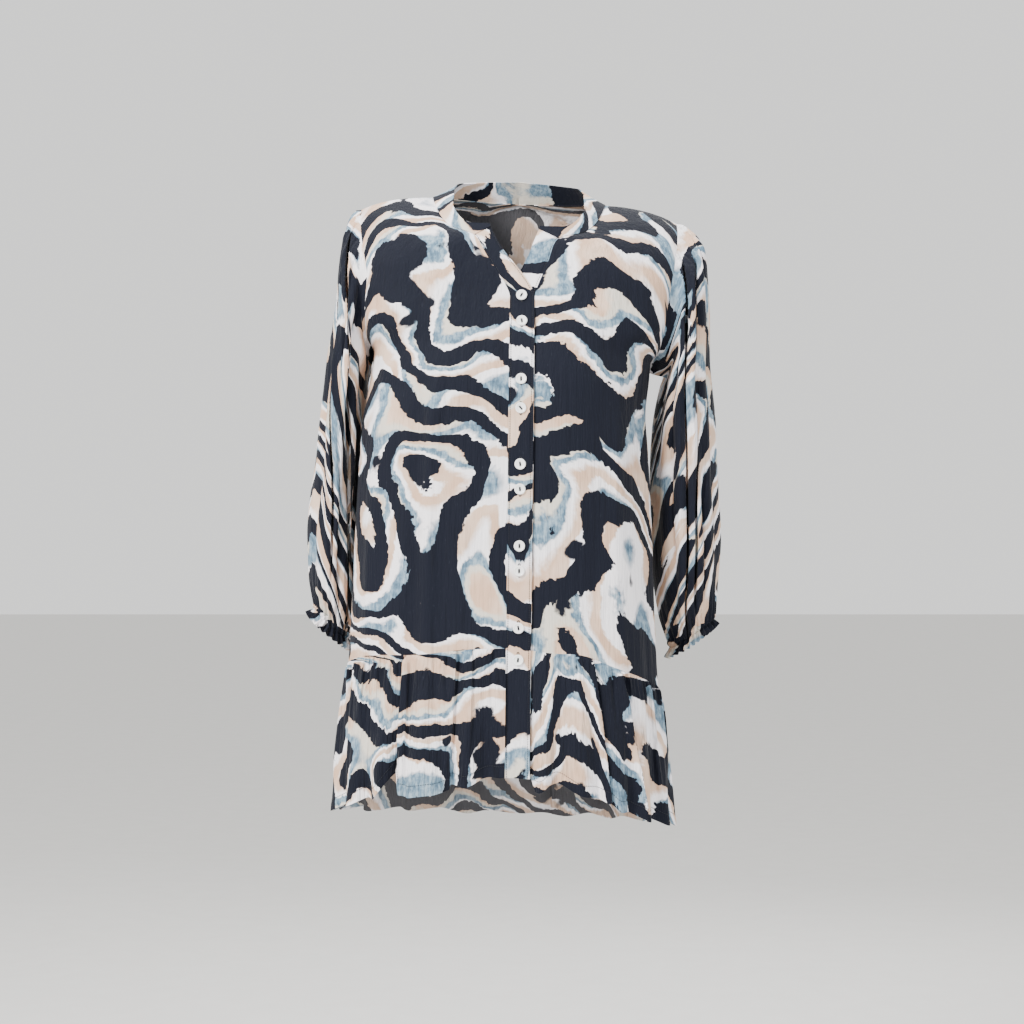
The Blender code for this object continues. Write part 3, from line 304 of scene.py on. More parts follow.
def bell(off, width):
    """1 in the middle, falling softly to 0 on both sides."""
    return np.exp(-(off / width) ** 2)


def unit(vectors):
    """The vectors at length 1."""
    return vectors / np.maximum(np.linalg.norm(vectors, axis=-1, keepdims=True), TINY)


def lengths(grid, axis):
    """Distance along a grid's rows or columns, starting from 0."""
    step = np.linalg.norm(np.diff(grid, axis=axis), axis=-1)
    start = np.zeros_like(np.take(step, [0], axis=axis))
    return np.concatenate([start, np.cumsum(step, axis=axis)], axis=axis)


def normals(grid, side, closed=False):
    """Unit outward normals of a grid whose rows run up the front or down the back."""
    along_columns = np.gradient(grid, axis=1)
    if closed:
        along_columns[:, [0, -1]] = (grid[:, 1:2] - grid[:, -2:-1]) / 2
    return unit(np.cross(along_columns, np.gradient(grid, axis=0)) * side)


def raised(grid, facing, height):
    """The grid's points moved along the given directions."""
    return grid + facing * height[..., None]


def fine_places(first, last, share):
    """Row places between two named rows, each mesh step of the solids cut into equal shares."""
    legs = [np.linspace(leg.first, leg.last, leg.steps + 1)[1:]
            for leg in STRETCHES if first <= leg.first and leg.last <= last]
    rows = np.concatenate([[first]] + legs)
    return np.interp(np.arange((len(rows) - 1) * share + 1) / share, np.arange(len(rows)), rows)


def worn(points):
    """Move points of the symmetric cut to where they lie on the wearer."""
    x, y, z = points[..., 0], points[..., 1], points[..., 2]
    lean, tilt, drift = (column.reshape(x.shape) for column in by_first(POSE_ROWS, z.ravel()).T)
    middle = bell(x, DRIFT_REACH) * (y < 0)
    moved_x = x - lean * (np.hypot(x, LEAN_START) - LEAN_START) + drift * middle
    drop = sum(sag.drop * np.exp(-((x - sag.at_x) / sag.width) ** 2 - ((z - sag.at_z) / sag.height) ** 2)
               for sag in SAGS)
    drop = drop * np.clip(-y / SAG_DEPTH, 0, 1)
    press = ARM_PRESS.depth * bell(y - ARM_PRESS.at_y, ARM_PRESS.reach) * (x / ARM_PRESS.side_x) ** 4
    press = press * hump(z, ARM_PRESS.low_end, ARM_PRESS.low_full, ARM_PRESS.top_full, ARM_PRESS.top_start)
    return np.stack([moved_x - np.sign(x) * press, y, z - tilt * x - drop], axis=-1)


def body_points(row_at, across, side):
    """Grid of points on one half of the body, with its soft upright folds."""
    row = by_row(BODY_ROWS, row_at)[:, None]
    inner, outer, corner, pull = row[..., 0:3], row[..., 3:6], row[..., 6:9], row[..., 9:10]
    t = np.asarray(across)[None, :, None]
    weight_in, weight_corner, weight_out = (1 - t) ** 2, 2 * pull * t * (1 - t), t ** 2
    grid = (weight_in * inner + weight_corner * corner + weight_out * outer)
    grid = grid / (weight_in + weight_corner + weight_out) * np.array([side, 1, 1])
    rows, columns = np.asarray(row_at)[:, None], np.asarray(across)[None, :]
    rise = np.zeros((len(row_at), len(across)))
    for fold in BODY_FOLDS:
        if fold.side != side:
            continue
        if fold.first_row > SHOULDER:
            reach = ease(rows, fold.first_row, fold.first_row + BODY_FOLD_FADE)
        else:
            reach = 1 - ease(rows, fold.last_row - BODY_FOLD_FADE, fold.last_row)
        rise += fold.ridge * bell(columns - fold.across, fold.width) * reach
    if len(row_at) > 1 and len(across) > 1:
        grid = raised(grid, normals(grid, side), rise)
    return worn(grid)


def ruffle_points(rows, down, across, side, waves):
    """Half a ruffle piece: its waves grow towards the hem."""
    grid = body_points(rows, across, side)
    outward = unit(normals(grid, side) * np.array([1, 1, 0]))
    wave = by_first(waves, across)[:, 0] * ease(across, 0.0, HELD_EDGE)
    wave = np.outer(down ** WAVE_GROWTH, wave)
    grid = raised(grid, outward, wave + RUFFLE_BILLOW * np.sin(np.pi * down)[:, None])
    grid[..., 2] -= wave * WAVE_DROP
    return grid, outward


def seam_points(rows, side):
    """The inner edge of the body, where the bands and the collar are sewn on."""
    return body_points(rows, [0.0, 0.01], side)[:, :1]


def band_points(rows, across, side):
    """Grid of a button band; the over band stands out from its sewn edge and the under band lies in."""
    share = np.asarray(across)[None, :, None]
    free = by_row(BAND_TABLE, rows)[:, None]
    free[..., 1] += FRONT * LAP * -side
    return seam_points(rows, side) * (1 - share) + worn(free * np.array([side, 1, 1])) * share


def collar_half(side):
    """Grid of half the collar, from its front tip along the band and the neckline to the centre back."""
    rows = fine_places(COLLAR_CORNER, NAPE, COLLAR_SHARE)
    across = np.linspace(1, 0, COLLAR_FRONT + 1)
    front = band_points([COLLAR_CORNER - 0.01, COLLAR_CORNER], across, side)[1]
    low = np.concatenate([front, seam_points(rows, side)[1:, 0]])
    table_rows = np.concatenate([1 - across, rows[1:] - COLLAR_CORNER + 1])
    high = worn(by_row(COLLAR_TABLE, table_rows) * np.array([side, 1, 1]))
    high[:, 1] += FRONT * LAP * -side * np.clip(1 - table_rows, 0, 1)
    up = np.linspace(0, 1, COLLAR_UP + 1)[None, :, None]
    return low[:, None] * (1 - up) + high[:, None] * up


def section_loop(row, around, side):
    """One tilted ellipse of a sleeve or cuff."""
    out_x, in_x = (row.out_right, row.in_right) if side == RIGHT else (row.out_left, row.in_left)
    angle = 2 * np.pi * np.asarray(around)
    toward_in = (1 + np.cos(angle)) / 2
    x = (out_x + (in_x - out_x) * toward_in) * side
    z = row.out_z + (row.in_z - row.out_z) * toward_in - SLEEVE_TILT * x
    y = (row.front_y + row.back_y) / 2 - (row.back_y - row.front_y) / 2 * np.sin(angle)
    return np.stack([x, y, z], axis=-1)


def head_direction(around, facing, side):
    """Unit direction in which the sleeve leaves the armhole, never below the plane of the body there."""
    direction = by_first(HEAD_TABLE, np.minimum(around, 1 - around))
    direction[:, 0] *= side
    direction[:, 1] *= np.where(around <= 0.5, 1, -1)
    rise = np.sum(direction * facing, axis=1, keepdims=True)
    return unit(direction + facing * np.maximum(0, HEAD_RISE - rise))


def body_tree():
    """Search tree of the body surface, which the sleeves keep clear of."""
    across = np.linspace(0, 1, TREE_ACROSS)
    vertices, faces = [], []
    for side in (RIGHT, LEFT):
        for low, high in ((HEM_FRONT, COLLAR_CORNER), (NAPE, HEM_BACK)):
            grid = body_points(np.linspace(low, high, TREE_ROWS), across, side)
            faces += (grid_quads(TREE_ROWS, TREE_ACROSS, side) + len(vertices)).tolist()
            vertices += grid.reshape(-1, 3).tolist()
    return BVHTree.FromPolygons(vertices, faces)


def push_clear(grid, tree, reach):
    """Move points out of the body until they stand clear of it; reach scales the clearance by row."""
    for r, c in np.ndindex(*grid.shape[:2]):
        point = Vector(grid[r, c])
        place, normal, _, _ = tree.find_nearest(point)
        offset = point - place
        away = offset.dot(normal)
        if offset.length > BESIDE * abs(away):
            away = offset.length
            normal = offset.normalized()
        short = SLEEVE_CLEARANCE * reach[r] - away
        soft = 0.5 * (short + math.hypot(short, PUSH_SOFTNESS * reach[r]))
        grid[r, c] = point + normal * soft * min(1.0, reach[r] * PUSH_ONSET)
    return grid


def grid_quads(rows, columns, side):
    """Quads over a grid of vertices, facing out on the given side."""
    r, c = np.meshgrid(np.arange(rows - 1), np.arange(columns - 1), indexing="ij")
    a = (r * columns + c).ravel()
    quads = np.stack([a, a + 1, a + 1 + columns, a + columns], axis=1)
    return quads if side > 0 else quads[:, ::-1]


# Soft troughs and ridges laid over a piece, in metres on its cloth: middle, half length and half width,
# slope of the line it follows, and height
Crease = namedtuple("Crease", "u v half_length half_width slope height")


def scattered(seed, count, *ranges):
    """Creases of uneven place, length, width, slope and height, the same at every run."""
    draw = np.random.default_rng(seed)
    made = []
    for _ in range(count):
        values = [draw.uniform(*limits) for limits in ranges]
        made.append(Crease(*values[:-1], values[-1] * draw.choice([-1, 1])))
    return made


def crease_height(uv, creases):
    """Height of the creases at each point of a piece."""
    total = np.zeros(uv.shape[:2])
    for crease in creases:
        dv = uv[..., 1] - crease.v
        du = uv[..., 0] - crease.u - crease.slope * dv
        along = np.clip(1 - (dv / crease.half_length) ** 2, 0, 1) ** 2
        total += crease.height * along * bell(du, crease.half_width)
    return total


def point_normals(vertices, quads):
    """Outward normals at the vertices, longer where the faces are larger."""
    a, b, c, d = (vertices[quads[:, i]] for i in range(4))
    facing = np.cross(c - a, d - b)
    total = np.zeros_like(vertices)
    for i in range(4):
        np.add.at(total, quads[:, i], facing)
    return total


def smooth_mesh(name, points, faces, *materials):
    """A smoothly shaded mesh in the given materials."""
    mesh = bpy.data.meshes.new(name)
    mesh.from_pydata(points.reshape(-1, 3).tolist(), [], faces)
    for material in materials:
        mesh.materials.append(material)
    mesh.shade_smooth()
    return mesh


def shell(name, vertices, uv, quads, node, doubled=False, wrap=None):
    """Mesh of a thin closed wall of cloth under the given outer face, paler inside unless it is doubled."""
    facing = point_normals(vertices, quads)
    if wrap is not None:
        facing[wrap[0]] = facing[wrap[1]] = facing[wrap[0]] + facing[wrap[1]]
    count = len(vertices)
    edges = np.concatenate([quads[:, [i, (i + 1) % 4]] for i in range(4)]).astype(np.int64)
    rim = edges[~np.isin(edges[:, 0] * count + edges[:, 1], edges[:, 1] * count + edges[:, 0])]
    rim_quads = np.stack([rim[:, 1], rim[:, 0], rim[:, 0] + count, rim[:, 1] + count], axis=1)
    faces = np.concatenate([quads, quads[:, ::-1] + count, rim_quads])
    points = np.concatenate([vertices, vertices - unit(facing) * (DOUBLED if doubled else THIN)])
    mesh = smooth_mesh(name, points, faces.tolist(), prints[node], prints[node] if doubled else wrong[node])
    layer = mesh.uv_layers.new(name="cloth")
    layer.data.foreach_set("uv", np.concatenate([uv, uv])[faces.ravel()].astype(np.float32).ravel())
    is_inner = np.arange(len(faces)) // len(quads) == 1
    mesh.polygons.foreach_set("material_index", is_inner.astype(np.int32))
    mesh.set_sharp_from_angle(angle=math.radians(SHARP_CLOTH))
    mesh.validate()
    return mesh


def add_piece(name, mesh, slot, *nodes, place=None, turn=None):
    """A piece that rides on the one body and stands for the solids named."""
    piece = bpy.data.objects.new(name, mesh)
    bpy.context.scene.collection.objects.link(piece)
    if place is not None:
        piece.rotation_mode = "QUATERNION"
        piece.rotation_quaternion = turn
        piece.location = place
    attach(piece, "root")
    if nodes:
        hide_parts(*nodes)


def cloth_piece(name, slot, node, grid, uv, side, doubled=False, closed=False):
    """A piece made from one grid of points; a closed one has its first column again as its last."""
    rows, columns = grid.shape[:2]
    index = np.arange(rows * columns).reshape(rows, columns)
    mesh = shell(name, grid.reshape(-1, 3), uv.reshape(-1, 2), grid_quads(rows, columns, side), node, doubled,
                 (index[:, 0], index[:, -1]) if closed else None)
    add_piece(name, mesh, slot, node)


def cloth_halves(name, slot, node, halves, shared_rows):
    """A piece made from its right and left grids, which meet in their first column on the given rows."""
    (right, right_uv), (left, left_uv) = halves
    middle = (right[shared_rows, 0] + left[shared_rows, 0]) / 2
    right[shared_rows, 0] = left[shared_rows, 0] = middle * np.array([0, 1, 1])
    rows, columns = right.shape[:2]
    index = np.arange(rows * columns).reshape(rows, columns)
    other = index + rows * columns
    other[shared_rows, 0] = index[shared_rows, 0]
    keep = np.ones(2 * rows * columns, bool)
    keep[rows * columns:].reshape(rows, columns)[shared_rows, 0] = False
    renumber = np.cumsum(keep) - 1
    vertices = np.concatenate([right.reshape(-1, 3), left.reshape(-1, 3)])[keep]
    uv = np.concatenate([right_uv.reshape(-1, 2), left_uv.reshape(-1, 2)])[keep]
    quads = np.concatenate([renumber[index.ravel()[grid_quads(rows, columns, RIGHT)]],
                            renumber[other.ravel()[grid_quads(rows, columns, LEFT)]]])
    add_piece(name, shell(name, vertices, uv, quads, node), slot, node)


# Colours of the print and the trim, linear
NAVY = (0.0042, 0.0056, 0.0122)
NAVY_WORN = (0.0140, 0.0165, 0.0260)
BLUE = (0.130, 0.208, 0.280)
BLUE_DARK = (0.060, 0.105, 0.152)
BLUE_PALE = (0.285, 0.372, 0.440)
BEIGE = (0.580, 0.385, 0.270)
BEIGE_PALE = (0.680, 0.500, 0.385)
WHITE = (0.885, 0.855, 0.880)
CREAM = (0.600, 0.560, 0.490)
WRONG_SIDE_GREY = (0.36, 0.35, 0.36)
WORLD_PALE = (0.80, 0.80, 0.79)

# Plain materials: colour, roughness, specular, coat, and the scale, depth and tone of their grain
THREAD_NAVY = ((0.006, 0.007, 0.012), 0.65, 0.4, 0.0, 2600.0, 0.00003, 0.25)
BUTTON_WHITE = ((0.970, 0.965, 0.955), 0.20, 0.5, 0.35, 260.0, 0.00002, 0.05)
FLOOR_PALE = ((0.72, 0.71, 0.69), 0.9, 0.2, 0.0, 14.0, 0.0004, 0.03)

# The print: distance from one navy stroke to the next, and its share of navy
STROKE_STEP = 0.088
STROKE_ACROSS = (0.32, 0.95, 0.0)
NAVY_SHARE = 0.47
NAVY_VARIES = 0.62
DABS_ASIDE = (7.3, 1.9, 4.4)
DAB_EDGE = (0.685, 0.008)
WORN_EDGE = (0.68, 0.05)
BRUSH_STRETCH = 0.16

# How the strokes stray (scale of the noise, reach in metres, detail) and sway (scale, strokes)
STRAYS = ((3.4, 0.16), (19.0, 0.030), (150.0, 0.0075, 3.0))
SWAYS = ((4.6, 7.0), (12.5, 2.3))

# Noises of the print, of the cloth and of the shade painted into its crinkle creases: scale, detail and
# roughness
NAVY_NOISE = (8.0, 1.0)
TONE_NOISE = (8.5, 1.0)
DAB_NOISE = (17.0, 1.0)
BEIGE_NOISE = (24.0, 2.0)
WASH_NOISE = (420.0, 4.0, 0.75)
SPOT_NOISE = (85.0, 3.0, 0.6)
WORN_NOISE = (560.0, 3.0, 0.8)
CREASE_SHADE_NOISE = (330.0, 2.0, 0.6)
CREASE_SHADE_PATCH_NOISE = (16.0, 1.0)
GRAIN_NOISE = (1500.0, 2.0, 0.6)

# The ground between the strokes: where each colour takes over from the one before, and how softly
GROUND = ((0.14, 0.03, "white"), (0.31, 0.02, "beige"), (0.55, 0.05, "white"), (0.69, 0.02, "blue"),
          (0.84, 0.02, "cream"), (0.95, 0.03, "beige"))
BLUE_STOPS = ((0.13, BLUE_DARK), (0.23, BLUE), (0.34, BLUE_PALE))
BEIGE_STOPS = ((0.42, BEIGE), (0.62, BEIGE_PALE))
TONE_SPAN = 0.62
TONE_SWING = 2.4
TONE_START = 0.20

# Crinkle of the cloth: upright stretch of its noise, the noise, depth in metres and strength
CRINKLES = ((0.055, (170.0, 2.0), 0.0040, 0.7), (0.12, (430.0, 2.0, 0.55), 0.0020, 0.8))
GRAIN = (0.0004, 0.35)
# Shade painted into the crinkle creases: edge of its fine upright lines, how far they darken the colour, and
# edge of the patches that hold them
CREASE_SHADE_EDGE = (0.585, 0.075)
PAINTED_CREASE_SHADE = 0.34
CREASE_SHADE_PATCH_EDGE = (0.50, 0.12)
# Paleness of the cloth's wrong side, and the surface of the cloth
WRONG_SIDE_PALE = 0.17
CLOTH_SURFACE = (0.80, 0.15, {"Sheen Weight": 0.05, "Sheen Roughness": 0.45})


class Graph:
    """The node tree of one material; its methods add nodes and give their outputs."""

    def __init__(self, name):
        self.material = bpy.data.materials.new(name)
        self.material.use_nodes = True
        self.tree = self.material.node_tree
        self.shader = self.tree.nodes["Principled BSDF"]

    def feed(self, node, values):
        """Link or set the inputs of a node."""
        for key, value in values.items():
            target = node.inputs[key]
            if isinstance(value, (int, float)):
                target.default_value = value
            elif isinstance(value, tuple):
                target.default_value = value if len(value) == len(target.default_value) else (*value, 1.0)
            else:
                self.tree.links.new(value, target)

    def node(self, kind, values, output=0, **settings):
        made = self.tree.nodes.new(kind)
        for name, value in settings.items():
            setattr(made, name, value)
        self.feed(made, values)
        return made.outputs[output]

    def math(self, operation, a, b=0.0):
        return self.node("ShaderNodeMath", {0: a, 1: b}, operation=operation)

    def swing(self, value, reach):
        """A noise value made to vary round 0."""
        return self.math("MULTIPLY", self.math("SUBTRACT", value, 0.5), reach)

    def vector(self, operation, a, b):
        return self.node("ShaderNodeVectorMath", {0: a, "Scale" if operation == "SCALE" else 1: b},
                         "Value" if operation == "DOT_PRODUCT" else "Vector", operation=operation)

    def mapped(self, at, offset=(0.0, 0.0, 0.0), turn=0.0, upright=1.0):
        return self.node("ShaderNodeMapping", {"Vector": at, "Location": offset, "Rotation": (0.0, 0.0, turn),
                                               "Scale": (1.0, 1.0, upright)})

    def noise(self, at, scale, detail=2.0, roughness=0.5, output="Fac"):
        values = {"Vector": at, "Scale": scale, "Detail": detail, "Roughness": roughness}
        return self.node("ShaderNodeTexNoise", values, output, noise_dimensions="3D")

    def stray(self, at, scale, reach, detail=1.0):
        """Move places by a noise of the given reach in metres."""
        drift = self.vector("SUBTRACT", self.noise(at, scale, detail, output="Color"), (0.5, 0.5, 0.5))
        return self.vector("ADD", at, self.vector("SCALE", drift, reach))

    def ramp(self, value, *stops):
        made = self.tree.nodes.new("ShaderNodeValToRGB")
        elements = made.color_ramp.elements
        while len(elements) > 1:
            elements.remove(elements[-1])
        for number, (place, color) in enumerate(stops):
            element = elements.new(place) if number else elements[0]
            element.position, element.color = place, (*color, 1.0)
        self.feed(made, {"Fac": value})
        return made.outputs["Color"]

    def step(self, value, edge, softness=0.012):
        """0 below the edge and 1 above it."""
        return self.node("ShaderNodeMapRange", {"Value": value, "From Min": edge - softness,
                                                "From Max": edge + softness})

    def mix(self, share, a, b, blend="MIX"):
        return self.node("ShaderNodeMix", {0: share, 6: a, 7: b}, 2, data_type="RGBA", blend_type=blend)

    def bump(self, height, distance, strength, **after):
        values = {"Distance": distance, "Strength": strength, "Height": height}
        return self.node("ShaderNodeBump", {**values, **after}, "Normal")

    def surface(self, color, normal, roughness, specular, more):
        self.feed(self.shader, {"Base Color": color, "Normal": normal, "Roughness": roughness,
                                "Specular IOR Level": specular, **more})
        return self.material


def painted_bands(g, uv, at, offset, turn):
    """Colour of wavy dry-brushed strokes: navy on a ground that runs through beige, white and blue."""
    ragged = g.mapped(uv, offset, turn)
    for stray in STRAYS:
        ragged = g.stray(ragged, *stray)
    course = g.math("DIVIDE", g.vector("DOT_PRODUCT", ragged, STROKE_ACROSS), STROKE_STEP)
    for scale, sway in SWAYS:
        course = g.math("ADD", course, g.math("MULTIPLY", g.noise(ragged, scale, 0.0), sway))
    off = g.math("ABSOLUTE", g.math("SUBTRACT", g.math("FRACT", course), 0.5))
    spread = g.swing(g.noise(ragged, *NAVY_NOISE), NAVY_VARIES)
    from_navy = g.math("SUBTRACT", g.math("SUBTRACT", g.math("MULTIPLY", off, 2.0), spread), NAVY_SHARE)
    brushed = g.mapped(at, upright=BRUSH_STRETCH)
    wash = g.math("MULTIPLY", g.noise(brushed, *WASH_NOISE), g.noise(uv, *SPOT_NOISE))
    paints = {"white": WHITE, "cream": CREAM, "blue": g.ramp(wash, *BLUE_STOPS),
              "beige": g.ramp(g.noise(uv, *BEIGE_NOISE), *BEIGE_STOPS)}
    along = g.math("MULTIPLY", g.math("FRACT", g.math("ADD", course, 0.5)), TONE_SPAN)
    shift = g.math("ADD", g.swing(g.noise(ragged, *TONE_NOISE), TONE_SWING), TONE_START)
    tone = g.math("ADD", along, shift)
    ground = paints["blue"]
    for edge, softness, paint in GROUND:
        ground = g.mix(g.step(tone, edge, softness), ground, paints[paint])
    dabs = g.step(g.noise(g.vector("ADD", ragged, DABS_ASIDE), *DAB_NOISE), *DAB_EDGE)
    navy = g.mix(g.step(g.noise(brushed, *WORN_NOISE), *WORN_EDGE), NAVY, NAVY_WORN)
    return g.mix(dabs, g.mix(g.step(from_navy, 0.0), navy, ground), navy)


def printed_cloth(name, offset, turn, crinkle, wrong_side=False):
    """Crinkled viscose with a generic print of ragged, wavy painted bands, in metres of cloth, and painted
    crease shade.
    """
    g = Graph(name)
    uv = g.node("ShaderNodeUVMap", {}, uv_map="cloth")
    at = g.node("ShaderNodeTexCoord", {}, "Object")
    color = painted_bands(g, uv, at, offset, turn)
    after = {}
    for upright, noise, depth, strength in CRINKLES:
        normal = g.bump(g.noise(g.mapped(at, upright=upright), *noise), depth * crinkle, strength, **after)
        after = {"Normal": normal}
    # Painted shade: fine upright lines along the crinkle creases, in patches, darken the colour, more where
    # the crinkle is stronger
    line = g.step(g.noise(g.mapped(at, upright=CRINKLES[0][0]), *CREASE_SHADE_NOISE), *CREASE_SHADE_EDGE)
    line = g.math("MULTIPLY", line, g.step(g.noise(at, *CREASE_SHADE_PATCH_NOISE), *CREASE_SHADE_PATCH_EDGE))
    shade = 1.0 - PAINTED_CREASE_SHADE * crinkle
    color = g.mix(line, color, g.mix(1.0, color, (shade, shade, shade * 1.01), "MULTIPLY"))
    if wrong_side:
        color = g.mix(WRONG_SIDE_PALE, color, WRONG_SIDE_GREY)
    normal = g.bump(g.noise(at, *GRAIN_NOISE), *GRAIN, **after)
    return g.surface(color, normal, *CLOTH_SURFACE)


def plain(name, color, roughness, specular, coat, scale, depth, tone):
    """A plain material with fine uneven tone and surface."""
    g = Graph(name)
    grain = g.noise(g.node("ShaderNodeTexCoord", {}, "Object"), scale)
    shade = g.ramp(grain, (0.3, tuple(c * (1 - tone) for c in color)), (0.7, color))
    return g.surface(shade, g.bump(grain, depth, 0.6), roughness, specular, {"Coat Weight": coat})


# Thickness of the shells, how finely each step of the solids is cut, points of the body's search tree, how
# fast the sleeves' clearance sets in, and the least angle of a sharp edge in degrees
THIN = 0.0008
DOUBLED = 0.0012
FRONT_SHARE = 9
BACK_SHARE = 8
RUFFLE_SHARE = 8
BAND_SHARE = 10
COLLAR_SHARE = 6
COLLAR_FRONT = 12
COLLAR_UP = 8
FRONT_FINE = 92
BACK_FINE = 80
BAND_FINE = 24
SLEEVE_AROUND = 300
SLEEVE_DOWN = 116
CUFF_DOWN = 14
TREE_ACROSS = 25
TREE_ROWS = 40
PUSH_ONSET = 3
SHARP_CLOTH = 62
SHARP_BUTTON = 50

# Main creases of the bodice, in metres of cloth from the centre front or back and up from the waist seam
FRONT_CREASES = both_sides(Crease, [
    (-0.052, 0.12, 0.15, 0.0075, 0.03, -0.0014), (-0.095, 0.25, 0.13, 0.01, -0.05, 0.0018),
    (-0.148, 0.205, 0.17, 0.01, 0.04, -0.002), (-0.176, 0.3, 0.1, 0.0085, 0.1, 0.0016),
    (-0.12, 0.42, 0.085, 0.011, -0.22, -0.0014), (-0.168, 0.415, 0.07, 0.007, -0.55, -0.0016),
    (-0.155, 0.385, 0.06, 0.006, -0.8, 0.0013), (-0.07, 0.48, 0.06, 0.012, 0.25, 0.0012),
    (-0.19, 0.11, 0.12, 0.008, 0.02, 0.0015), (-0.032, 0.3, 0.1, 0.006, 0.02, 0.0008),
], [
    (0.045, 0.15, 0.14, 0.008, -0.02, 0.001), (0.088, 0.11, 0.12, 0.009, 0.05, -0.0016),
    (0.118, 0.26, 0.15, 0.011, 0.06, 0.0019), (0.15, 0.18, 0.16, 0.009, -0.03, -0.002),
    (0.182, 0.26, 0.13, 0.008, -0.06, 0.0018), (0.125, 0.425, 0.08, 0.011, 0.25, -0.0013),
    (0.165, 0.41, 0.07, 0.007, 0.6, -0.0017), (0.15, 0.378, 0.055, 0.006, 0.85, 0.0013),
    (0.074, 0.475, 0.06, 0.012, -0.2, 0.0011), (0.03, 0.39, 0.07, 0.006, -0.02, -0.0007),
])
BACK_CREASES = table(Crease, [
    (-0.16, 0.2, 0.17, 0.01, 0.03, -0.002), (-0.118, 0.14, 0.14, 0.011, -0.02, 0.0018),
    (-0.07, 0.24, 0.18, 0.011, 0.02, -0.0019), (-0.022, 0.15, 0.15, 0.01, -0.01, 0.0015),
    (0.026, 0.23, 0.17, 0.01, 0.01, -0.0017), (0.075, 0.16, 0.15, 0.011, 0.03, 0.0018),
    (0.122, 0.22, 0.16, 0.011, -0.03, -0.002), (0.165, 0.15, 0.14, 0.009, 0.02, 0.0017),
    (-0.15, 0.42, 0.08, 0.008, -0.5, 0.0015), (0.152, 0.425, 0.08, 0.008, 0.5, 0.0015),
    (-0.06, 0.5, 0.06, 0.013, -0.35, -0.0013), (0.055, 0.505, 0.06, 0.013, 0.35, -0.0013),
    (-0.184, 0.33, 0.11, 0.008, 0.05, 0.0016), (0.186, 0.32, 0.11, 0.008, -0.05, 0.0016),
])
SIDE_FADE = 0.06
END_FADE = 0.03

# Short fine creases between the main ones: ranges of place, half length, half width, slope and height
SMALL_CREASES = ((0.02, 0.54), (0.018, 0.060), (0.0022, 0.0050), (-0.25, 0.25), (0.00015, 0.00050))
SMALL_FRONT = (0.02, 0.21)
SMALL_BACK = (-0.21, 0.21)
FRONT_SEED = 11
BACK_SEED = 13
SMALL_COUNT = 70

# The left front sinks a little beside the edge of the over band, and its ruffle sinks further
FRONT_DIP = 0.0026
RUFFLE_DIP = 0.0060
DIP_REACH = 0.014
DIP_ROWS = (6.8, 7.8)


def panel(rows, across, side, creases, fade, up):
    """Half a bodice panel, and its place on the cloth: across from the centre, and up from the waist seam."""
    grid = body_points(rows, across, side)
    inner_x = smooth(range(len(BODY_ROWS)), [row.in_x for row in BODY_ROWS], rows)
    v = lengths(grid, 0)
    uv = np.stack([side * (inner_x + lengths(grid, 1)), v if up else v[-1:] - v], axis=-1)
    return raised(grid, normals(grid, side), crease_height(uv, creases) * fade), uv


def make_fronts():
    rows = fine_places(WAIST_FRONT, SHOULDER, FRONT_SHARE)
    across = np.linspace(0, 1, FRONT_FINE + 1)
    fade = np.outer(inside(np.linspace(0, 1, len(rows)), END_FADE), inside(across, SIDE_FADE))
    for seed, (side, word) in enumerate(SIDES, FRONT_SEED):
        small = scattered(seed, SMALL_COUNT, sorted(side * x for x in SMALL_FRONT), *SMALL_CREASES)
        grid, uv = panel(rows, across, side, FRONT_CREASES[side] + small, fade, True)
        if side == LEFT:
            sunk = FRONT_DIP * np.outer(1 - ease(rows, *DIP_ROWS), bell(across, DIP_REACH))
            grid = raised(grid, normals(grid, side), -sunk)
        cloth_piece("bodice_front_" + word, "front", "front_" + word, grid, uv, side)


def make_back():
    rows = fine_places(SHOULDER, WAIST_BACK, BACK_SHARE)
    across = np.linspace(0, 1, BACK_FINE + 1)
    creases = BACK_CREASES + scattered(BACK_SEED, 2 * SMALL_COUNT, SMALL_BACK, *SMALL_CREASES)
    joined = rows >= NAPE
    fade = np.outer(inside(np.linspace(0, 1, len(rows)), END_FADE), 1 - ease(across, 1 - SIDE_FADE, 1.0))
    fade *= np.where(joined[:, None], 1.0, ease(across, 0.0, SIDE_FADE))
    halves = [panel(rows, across, side, creases, fade, False) for side in (RIGHT, LEFT)]
    cloth_halves("bodice_back", "back", "back", halves, joined)


# Gathered folds of the ruffle: place across, half width, height at the seam, and how far down each runs
Gather = namedtuple("Gather", "across half_width height reach")

# Pleats of the ruffle: place across at the seam and at the hem, height, side of the steep edge, and reach
PLEAT_COLUMNS = "seam hem height facing reach"
FRONT_PLEATS = both_sides(PLEAT_COLUMNS, [
    (0.055, 0.05, 0.0016, -1, 0.35), (0.125, 0.12, 0.003, -1, 0.85), (0.185, 0.195, 0.0044, -1, 1.15),
    (0.255, 0.255, 0.0022, 1, 0.38), (0.325, 0.32, 0.002, -1, 0.3), (0.385, 0.405, 0.009, 1, 1.3),
    (0.47, 0.475, 0.002, -1, 0.35), (0.545, 0.56, 0.0034, 1, 0.8), (0.625, 0.64, 0.0026, -1, 0.55),
    (0.715, 0.735, 0.0042, 1, 1.1), (0.8, 0.81, 0.0024, -1, 0.45), (0.88, 0.89, 0.0032, 1, 0.9),
], [
    (0.06, 0.055, 0.002, 1, 0.32), (0.11, 0.115, 0.0024, -1, 0.4), (0.185, 0.19, 0.0018, 1, 0.28),
    (0.265, 0.33, 0.005, 1, 1.2), (0.35, 0.36, 0.0018, -1, 0.26), (0.42, 0.53, 0.0054, 1, 1.15),
    (0.5, 0.515, 0.0022, -1, 0.34), (0.58, 0.62, 0.0034, 1, 0.5), (0.67, 0.715, 0.004, -1, 0.95),
    (0.755, 0.77, 0.0022, 1, 0.35), (0.83, 0.85, 0.0034, 1, 0.85), (0.91, 0.92, 0.0024, -1, 0.5),
])
